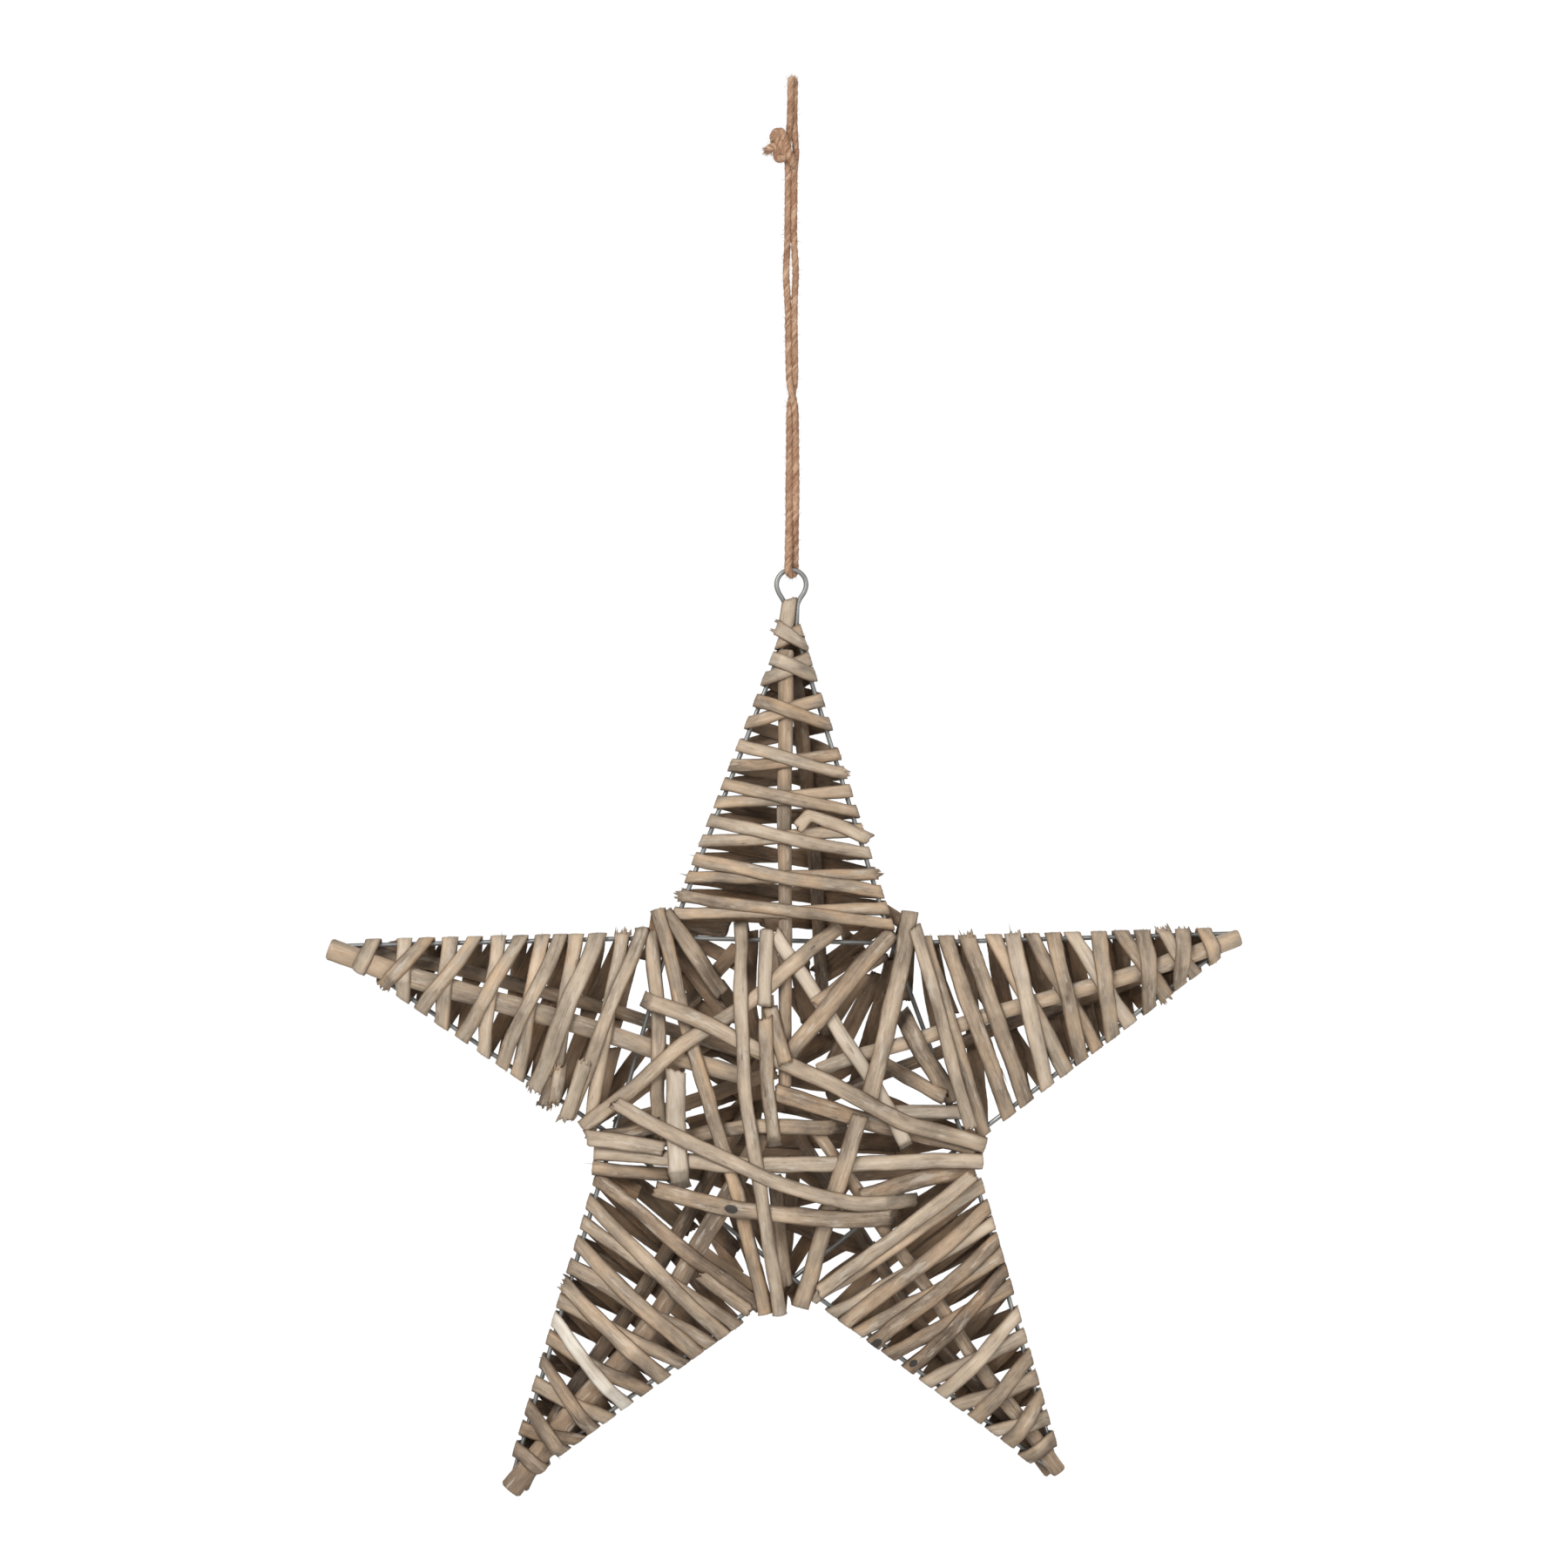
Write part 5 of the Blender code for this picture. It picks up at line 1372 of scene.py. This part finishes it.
class Graph:
    """Short ways to place and join nodes in one tree."""

    def __init__(self, tree):
        self.tree = tree

    def node(self, kind, **settings):
        made = self.tree.nodes.new(kind)
        for key, value in settings.items():
            setattr(made, key, value)
        return made

    def feed(self, socket, value):
        if isinstance(value, bpy.types.NodeSocket):
            self.tree.links.new(value, socket)
        elif socket.type == "RGBA":
            socket.default_value = (*value, 1.0)
        else:
            socket.default_value = value

    def math(self, operation, first, second=0.0, clamp=False):
        made = self.node("ShaderNodeMath", operation=operation, use_clamp=clamp)
        self.feed(made.inputs[0], first)
        self.feed(made.inputs[1], second)
        return made.outputs[0]

    def times(self, first, second):
        return self.math("MULTIPLY", first, second)

    def plus(self, first, second):
        return self.math("ADD", first, second)

    def less(self, first, second):
        return self.math("SUBTRACT", first, second)

    def mix(self, share, first, second, blend="MIX"):
        made = self.node("ShaderNodeMix", data_type="RGBA", blend_type=blend)
        self.feed(made.inputs[0], share)
        self.feed(made.inputs[6], first)
        self.feed(made.inputs[7], second)
        return made.outputs[2]

    def tinted(self, share, colour, tint):
        """The colour, multiplied by the tint as far as share says."""
        return self.mix(share, colour, self.mix(1.0, colour, tint, "MULTIPLY"))

    def noise(self, vector, detail=3.0, roughness=0.55, scale=1.0):
        made = self.node("ShaderNodeTexNoise")
        self.feed(made.inputs["Vector"], vector)
        for label, value in (("Scale", scale), ("Detail", detail), ("Roughness", roughness)):
            made.inputs[label].default_value = value
        return made.outputs["Fac"]

    def grained(self, grain, along, over, detail, roughness=0.55):
        """Noise stretched along the grain, by its rates along and over it for each millimetre."""
        made = self.node("ShaderNodeVectorMath", operation="MULTIPLY")
        self.feed(made.inputs[0], grain)
        made.inputs[1].default_value = (along, over, over)
        return self.noise(made.outputs[0], detail, roughness)

    def window(self, value, low, high, to_low=0.0, to_high=1.0):
        made = self.node("ShaderNodeMapRange", clamp=True)
        self.feed(made.inputs["Value"], value)
        limits = (("From Min", low), ("From Max", high), ("To Min", to_low), ("To Max", to_high))
        for label, limit in limits:
            made.inputs[label].default_value = limit
        return made.outputs[0]

    def ramp(self, value, *stops):
        made = self.node("ShaderNodeValToRGB")
        self.feed(made.inputs[0], value)
        elements = made.color_ramp.elements
        while len(elements) < len(stops):
            elements.new(0.5)
        for element, (place, colour) in zip(elements, stops):
            element.position = place
            element.color = (*colour, 1.0)
        return made.outputs[0]

    def split(self, vector):
        made = self.node("ShaderNodeSeparateXYZ")
        self.feed(made.inputs[0], vector)
        return made.outputs

    def mark(self, name):
        """One of the three marks that a mesh carries."""
        made = self.node("ShaderNodeAttribute", attribute_type="GEOMETRY", attribute_name=name)
        return made.outputs["Vector"]


def new_group(name, inputs, outputs):
    """An empty shader group with its sockets. Returns the tree, its graph, its inputs and its outputs."""
    tree = bpy.data.node_groups.new(name, "ShaderNodeTree")
    for label, kind in inputs:
        tree.interface.new_socket(name=label, in_out="INPUT", socket_type=kind)
    for label, kind in outputs:
        tree.interface.new_socket(name=label, in_out="OUTPUT", socket_type=kind)
    entry = tree.nodes.new("NodeGroupInput")
    leave = tree.nodes.new("NodeGroupOutput")
    return tree, Graph(tree), entry.outputs, leave.inputs


# Noise fields of the willow: rates along and over the grain for each millimetre, detail and roughness
WILLOW_FIELDS = {
    "fine": (0.16, 4.2, 4.0, 0.6),
    "streak": (0.035, 1.0, 3.0, 0.55),
    "broad": (0.040, 0.13, 2.0, 0.5),
    "patch": (0.22, 0.50, 5.0, 0.7),
    "line": (0.018, 1.3, 2.0, 0.5),
    "stain": (0.085, 0.26, 5.0, 0.72),
    "bark": (0.065, 0.33, 4.0, 0.65),
}

# How far each of these fields moves the tone
TONE_FIELDS = {"fine": 0.20, "streak": 0.34, "broad": 1.00, "patch": 0.44}
WILLOW_TONES = (
    (0.0, (0.070, 0.048, 0.034)),
    (0.25, (0.215, 0.160, 0.112)),
    (0.50, (0.400, 0.326, 0.247)),
    (0.72, (0.545, 0.468, 0.376)),
    (1.0, (0.740, 0.690, 0.600)),
)


def willow_colour(g, value, field, warmth, pith_and_shade, marks):
    """The willow's colour, brown or grey in places, with stains, bark and knots. Also returns its cracks."""
    knot, fold, cut = marks
    colour = g.ramp(value, *WILLOW_TONES)
    brown = g.window(field["broad"], 0.40, 0.58)
    colour = g.tinted(g.times(warmth, g.times(brown, 0.85)), colour, (1.0, 0.79, 0.59))
    grey = g.times(g.less(1.0, warmth), g.window(field["patch"], 0.45, 0.7))
    colour = g.tinted(g.times(grey, 0.7), colour, (0.84, 0.86, 0.88))
    crack = g.window(g.math("ABSOLUTE", g.less(field["line"], 0.5)), 0.002, 0.014, 1.0, 0.0)
    crack = g.times(crack, g.window(field["stain"], 0.50, 0.62))
    colour = g.tinted(g.times(crack, 0.60), colour, (0.36, 0.31, 0.27))
    colour = g.tinted(g.times(g.window(field["stain"], 0.58, 0.70), 0.26), colour, (0.52, 0.44, 0.37))
    colour = g.mix(g.times(g.window(field["bark"], 0.57, 0.66), 0.42), colour, (0.60, 0.53, 0.44))
    # Painted shade: darker towards each strip's edges, and on its underside the pith's own colour with
    # painted shade.
    colour = g.tinted(g.times(pith_and_shade, 0.85), colour, (0.52, 0.43, 0.35))
    worn = g.times(fold, g.window(field["fine"], 0.45, 0.60))
    colour = g.tinted(g.times(worn, 0.5), colour, (0.42, 0.36, 0.31))
    colour = g.tinted(g.times(cut, 0.6), colour, (0.45, 0.38, 0.32))
    return g.mix(g.times(knot, 0.93), colour, (0.030, 0.027, 0.026)), crack


def willow_group():
    """Weathered peeled willow, shared by all the willow materials."""
    tree, g, given, result = new_group(
        "Weathered willow",
        [
            ("Grain", "NodeSocketVector"), ("Look", "NodeSocketVector"), ("Marks", "NodeSocketVector"),
            ("Tone", "NodeSocketFloat"), ("Streaks", "NodeSocketFloat"),
        ],
        [("Colour", "NodeSocketColor"), ("Roughness", "NodeSocketFloat"), ("Height", "NodeSocketFloat")],
    )
    tone, warmth, pith_and_shade = g.split(given["Look"])
    knot, fold, cut = g.split(given["Marks"])
    knot = g.window(knot, 0.52, 0.68)
    field = {name: g.grained(given["Grain"], *row) for name, row in WILLOW_FIELDS.items()}
    value = g.plus(tone, given["Tone"])
    for name, amount in TONE_FIELDS.items():
        push = g.times(g.less(field[name], 0.5), amount)
        value = g.plus(value, g.times(push, given["Streaks"]))
    colour, crack = willow_colour(g, value, field, warmth, pith_and_shade, (knot, fold, cut))
    g.feed(result["Colour"], colour)
    rough = g.plus(g.times(field["fine"], 0.30), 0.52)
    g.feed(result["Roughness"], g.math("ADD", rough, g.times(crack, 0.2), clamp=True))
    height = g.plus(g.times(field["fine"], 0.45), g.times(field["streak"], 0.55))
    height = g.less(height, g.times(crack, 0.4))
    height = g.plus(height, g.times(field["bark"], 0.5))
    height = g.plus(height, g.times(g.times(fold, field["fine"]), 0.8))
    g.feed(result["Height"], height)
    return tree


def new_material(name, roughness, metallic=0.0):
    made = bpy.data.materials.new(name)
    made.use_nodes = True
    shader = made.node_tree.nodes["Principled BSDF"]
    shader.inputs["Roughness"].default_value = roughness
    shader.inputs["Metallic"].default_value = metallic
    return made, Graph(made.node_tree), shader


def add_bump(g, shader, height, distance, strength):
    bump = g.node("ShaderNodeBump")
    bump.inputs["Strength"].default_value = strength
    bump.inputs["Distance"].default_value = distance
    g.feed(bump.inputs["Height"], height)
    g.feed(shader.inputs["Normal"], bump.outputs[0])


# Slots of willow: added tone and strength of the streaks
WILLOW_SLOTS = (
    ("willow", 0.0, 1.0), ("willow_light", 0.06, 0.9), ("willow_dark", 0.0, 1.1), ("rod_willow", 0.0, 0.8),
)


def willow_material(group, name, tone, streaks):
    made, g, shader = new_material(name, 0.7)
    body = g.node("ShaderNodeGroup", node_tree=group)
    for label in ("Grain", "Look", "Marks"):
        g.feed(body.inputs[label], g.mark(label.lower()))
    body.inputs["Tone"].default_value = tone
    body.inputs["Streaks"].default_value = streaks
    g.feed(shader.inputs["Base Color"], body.outputs["Colour"])
    g.feed(shader.inputs["Roughness"], body.outputs["Roughness"])
    shader.inputs["Specular IOR Level"].default_value = 0.35
    add_bump(g, shader, body.outputs["Height"], 0.0003, 0.8)
    return made


def wire_material():
    """Dull zinc: soft spangle, darker weathered patches and fine drawing lines."""
    made, g, shader = new_material("galvanised_wire", 0.5, 0.85)
    grain = g.mark("grain")
    patch = g.grained(grain, 0.12, 0.8, 4.0, 0.6)
    lines = g.grained(grain, 0.05, 6.0, 3.0, 0.6)
    value = g.plus(g.times(patch, 0.7), g.times(lines, 0.3))
    stops = ((0.30, (0.19, 0.19, 0.19)), (0.50, (0.27, 0.27, 0.26)), (0.72, (0.37, 0.37, 0.355)))
    g.feed(shader.inputs["Base Color"], g.ramp(value, *stops))
    g.feed(shader.inputs["Roughness"], g.window(patch, 0.3, 0.7, 0.62, 0.40))
    add_bump(g, shader, value, 0.0001, 0.5)
    return made


def jute_material():
    """Twisted plant fibre: fine threads along each ply, with painted shade between the plies."""
    made, g, shader = new_material("jute", 0.9)
    grain = g.mark("grain")
    lobe = g.split(g.mark("marks"))[0]
    threads = g.grained(grain, 0.20, 4.5, 4.0, 0.65)
    blotch = g.grained(grain, 0.12, 0.5, 3.0, 0.6)
    value = g.plus(g.times(threads, 0.55), g.times(blotch, 0.45))
    stops = ((0.38, (0.19, 0.085, 0.045)), (0.50, (0.36, 0.205, 0.125)), (0.64, (0.66, 0.475, 0.330)))
    colour = g.ramp(value, *stops)
    # Painted shade in the grooves between the plies.
    groove_shade = g.window(lobe, 0.0, 0.45, 1.0, 0.0)
    colour = g.tinted(g.times(groove_shade, 0.65), colour, (0.40, 0.32, 0.26))
    g.feed(shader.inputs["Base Color"], colour)
    g.feed(shader.inputs["Roughness"], g.window(threads, 0.3, 0.7, 0.95, 0.75))
    shader.inputs["Specular IOR Level"].default_value = 0.2
    add_bump(g, shader, threads, 0.00025, 0.8)
    return made


def fibre_material():
    made, g, shader = new_material("jute_fibre", 0.85)
    look = g.split(g.mark("look"))
    grain = g.grained(g.mark("grain"), 0.4, 1.0, 2.0)
    value = g.plus(g.times(look[0], 0.8), g.times(grain, 0.3))
    stops = ((0.1, (0.20, 0.085, 0.045)), (0.5, (0.46, 0.280, 0.175)), (1.0, (0.78, 0.610, 0.460)))
    g.feed(shader.inputs["Base Color"], g.ramp(value, *stops))
    g.feed(shader.inputs["Roughness"], g.window(grain, 0.3, 0.7, 0.9, 0.75))
    return made


def floor_material():
    made, g, shader = new_material("pale_floor", 0.8)
    place = g.node("ShaderNodeTexCoord").outputs["Object"]
    shade = g.noise(place, 3.0, 0.6, 1.5)
    stops = ((0.3, (0.80, 0.80, 0.79)), (0.7, (0.84, 0.84, 0.83)))
    g.feed(shader.inputs["Base Color"], g.ramp(shade, *stops))
    return made


# Camera and studio, metres in the shared frame
CAMERA_DISTANCE = 2.2
PICTURE_WIDTH = 0.6861
PICTURE_MIDDLE = (-0.0034, -0.3080)
LIT_SPOT = (-0.003, 0.0, -0.42)
FLOOR_HEIGHT = -1.6
FLOOR_RADIUS = 2.5
FLOOR_CORNERS = 96


def set_camera():
    lens = bpy.data.cameras.new("camera")
    lens.sensor_width = 36.0
    lens.lens = lens.sensor_width * CAMERA_DISTANCE / PICTURE_WIDTH
    camera = bpy.data.objects.new("camera", lens)
    camera.location = (PICTURE_MIDDLE[0], -CAMERA_DISTANCE, PICTURE_MIDDLE[1])
    camera.rotation_euler = (math.radians(90), 0.0, 0.0)
    bpy.context.scene.collection.objects.link(camera)
    bpy.context.scene.camera = camera


def add_light(name, place, size, power):
    """A round soft light, aimed at the middle of the star."""
    lamp = bpy.data.lights.new(name, "AREA")
    lamp.shape = "DISK"
    lamp.size = size
    lamp.energy = power
    thing = bpy.data.objects.new(name, lamp)
    thing.location = place
    aim = Vector(LIT_SPOT) - Vector(place)
    thing.rotation_euler = aim.to_track_quat("-Z", "Y").to_euler()
    bpy.context.scene.collection.objects.link(thing)


def set_studio():
    """Three soft lights and a white surround, brighter to the camera than it lights the star."""
    add_light("key", (-1.1, -2.0, 0.75), 1.3, 50.0)
    add_light("fill", (1.6, -1.9, -0.2), 1.8, 24.0)
    add_light("back", (0.6, 2.2, 0.7), 1.6, 16.0)
    world = bpy.data.worlds.new("studio")
    world.use_nodes = True
    g = Graph(world.node_tree)
    background = world.node_tree.nodes["Background"]
    path = g.node("ShaderNodeLightPath")
    background.inputs["Color"].default_value = (1.0, 1.0, 1.0, 1.0)
    g.feed(background.inputs["Strength"], g.plus(g.times(path.outputs["Is Camera Ray"], 0.60), 0.42))
    bpy.context.scene.world = world
    bpy.context.scene.view_settings.view_transform = "Standard"


def set_floor():
    turns = [2 * math.pi * i / FLOOR_CORNERS for i in range(FLOOR_CORNERS)]
    points = [(0.0, 0.0, FLOOR_HEIGHT)]
    points += [(FLOOR_RADIUS * math.cos(turn), FLOOR_RADIUS * math.sin(turn), FLOOR_HEIGHT) for turn in turns]
    faces = [(0, i + 1, (i + 1) % FLOOR_CORNERS + 1) for i in range(FLOOR_CORNERS)]
    mesh = bpy.data.meshes.new("floor")
    mesh.from_pydata(points, [], faces)
    mesh.materials.append(floor_material())
    floor = bpy.data.objects.new("floor", mesh)
    bpy.context.scene.collection.objects.link(floor)


def winding_at(ribbon, spot):
    """Number of the front pass that runs closest to a place on the plan."""
    plan = np.array(ribbon.stations)[:, [0, 2]]
    ends = [start for start, _ in ribbon.passes[1:]] + [len(plan)]
    gaps = {}
    for number, ((start, side), end) in enumerate(zip(ribbon.passes, ends)):
        if side == FRONT:
            run = plan[end - 1] - plan[start]
            share = np.clip((spot - plan[start]) @ run / (run @ run), 0, 1)
            gaps[number] = np.linalg.norm(plan[start] + run * share - spot)
    return min(gaps, key=gaps.get)


def pass_looks(ribbon):
    """Tone, warmth and share of width of each pass: even along a core strip, mixed in a wrap."""
    source = seeded("tone " + ribbon.name)
    wrap = WRAP_LOOKS.get(ribbon.name)
    looks = []
    for _, side in ribbon.passes:
        plain = (0.38 + source.uniform(-0.07, 0.10), source.uniform(0.3, 0.9))
        tone, warmth = STRIP_TONES.get(ribbon.name, plain)
        if wrap:
            # Back passes are darker by 0.04, as painted shade.
            tone = wrap[0] + source.uniform(-0.13, 0.13) - (0.04 if side == BACK else 0.0)
        elif ribbon.name.startswith(("back", "lining")):
            # Back and lining strips take a dark tone as painted shade.
            tone, warmth = SHADED_TONE
        breadth = WIDER + source.uniform(-0.04, 0.08)
        if wrap:
            breadth += wrap[1] + source.uniform(-0.05, 0.05)
        looks.append((tone, warmth, breadth))
    for name, spot, tone, warmth, extra in MARKED_WINDINGS:
        if name == ribbon.name:
            looks[winding_at(ribbon, np.array(spot))] = (tone, warmth, WIDER + extra)
    return looks


def strip_piece(ribbon, looks, slot, nodes, broken=False):
    """Draws a strip finely and makes it a piece of the willow in that slot."""
    strip = FineMesh()
    torn_share = WRAP_LOOKS[ribbon.name][2] if ribbon.name in WRAP_LOOKS else 0.0
    StripSkin(ribbon, looks).draw(strip, torn_share, broken)
    strip.piece(ribbon.name.replace("_", "-"), WILLOW[slot], nodes)


set_camera()
set_studio()
set_floor()
willow_nodes = willow_group()
WILLOW = {row[0]: willow_material(willow_nodes, *row) for row in WILLOW_SLOTS}
WIRE = wire_material()
JUTE = jute_material()
FIBRE = fibre_material()

ring, eye_top = ring_path()
wire, rods, strips = lay_star(ring)

cord, knot_height = twine_path(eye_top)
twine = FineMesh()
twine_line = draw_twine(twine, "twine_loop", cord)
twine_piece = twine.piece("twine", JUTE, ["twine_loop"])
knot = FineMesh()
knot_line = draw_twine(knot, "twine_knot", knot_shape(eye_top, knot_height), 8.0, 1.12, 3.0)
knot_piece = knot.piece("knot", JUTE, ["twine_knot"])
fuzz = FineMesh()
draw_fuzz(fuzz, twine_line, 2600, "twine fuzz", 2.6)
draw_fuzz(fuzz, knot_line, 1300, "knot fuzz", 2.4)
fray_end(fuzz, knot_line[:-2], "knot tail", 220, 2.6)
fuzz_piece = fuzz.piece("twine_fibres", FIBRE, [])
twine_world = to_world(twine_line)
twine_length = float(path_places(twine_world)[-1])

frame_wire = FineMesh()
draw_metal(frame_wire, "wire_frame", rounded_path(wire, 3.0, 2.0, closed=True), WIRE_RADIUS, 12, closed=True)
frame_wire.piece("wire", WIRE, ["wire_frame"])
hanger = FineMesh()
draw_metal(hanger, "ring", rounded_path(ring, 2.4, 0.9), RING_WIRE / 2, 14)
hanger.piece("ring", WIRE, ["hanging_ring"])

for name, path in rods.items():
    rod = FineMesh()
    draw_rod(rod, name, path)
    rod.piece(name.replace("rod_", "rod-"), WILLOW["rod_willow"], [name])

for ribbon in strips:
    slot = "willow"
    if ribbon.name.startswith(("lining", "back")):
        slot = "willow_dark"
    if ribbon.name.endswith("light"):
        slot = "willow_light"
    strip_piece(ribbon, pass_looks(ribbon), slot, [ribbon.name])

for name, width, tone, warmth, *plan in LOOSE_STRIPS:
    ribbon = lay_open_strip(FRONT, name, width, *plan)
    strip_piece(ribbon, [(tone, warmth, 1.0)], "willow", [], broken=name.endswith("torn"))

# Inner strips: their listed tones carry painted shade.
for name, width, tone, warmth, *plan in INNER_STRIPS:
    ribbon = lay_open_strip(BACK, name, width, *plan)
    strip_piece(ribbon, [(tone, warmth, 1.0)], "willow_dark", [])
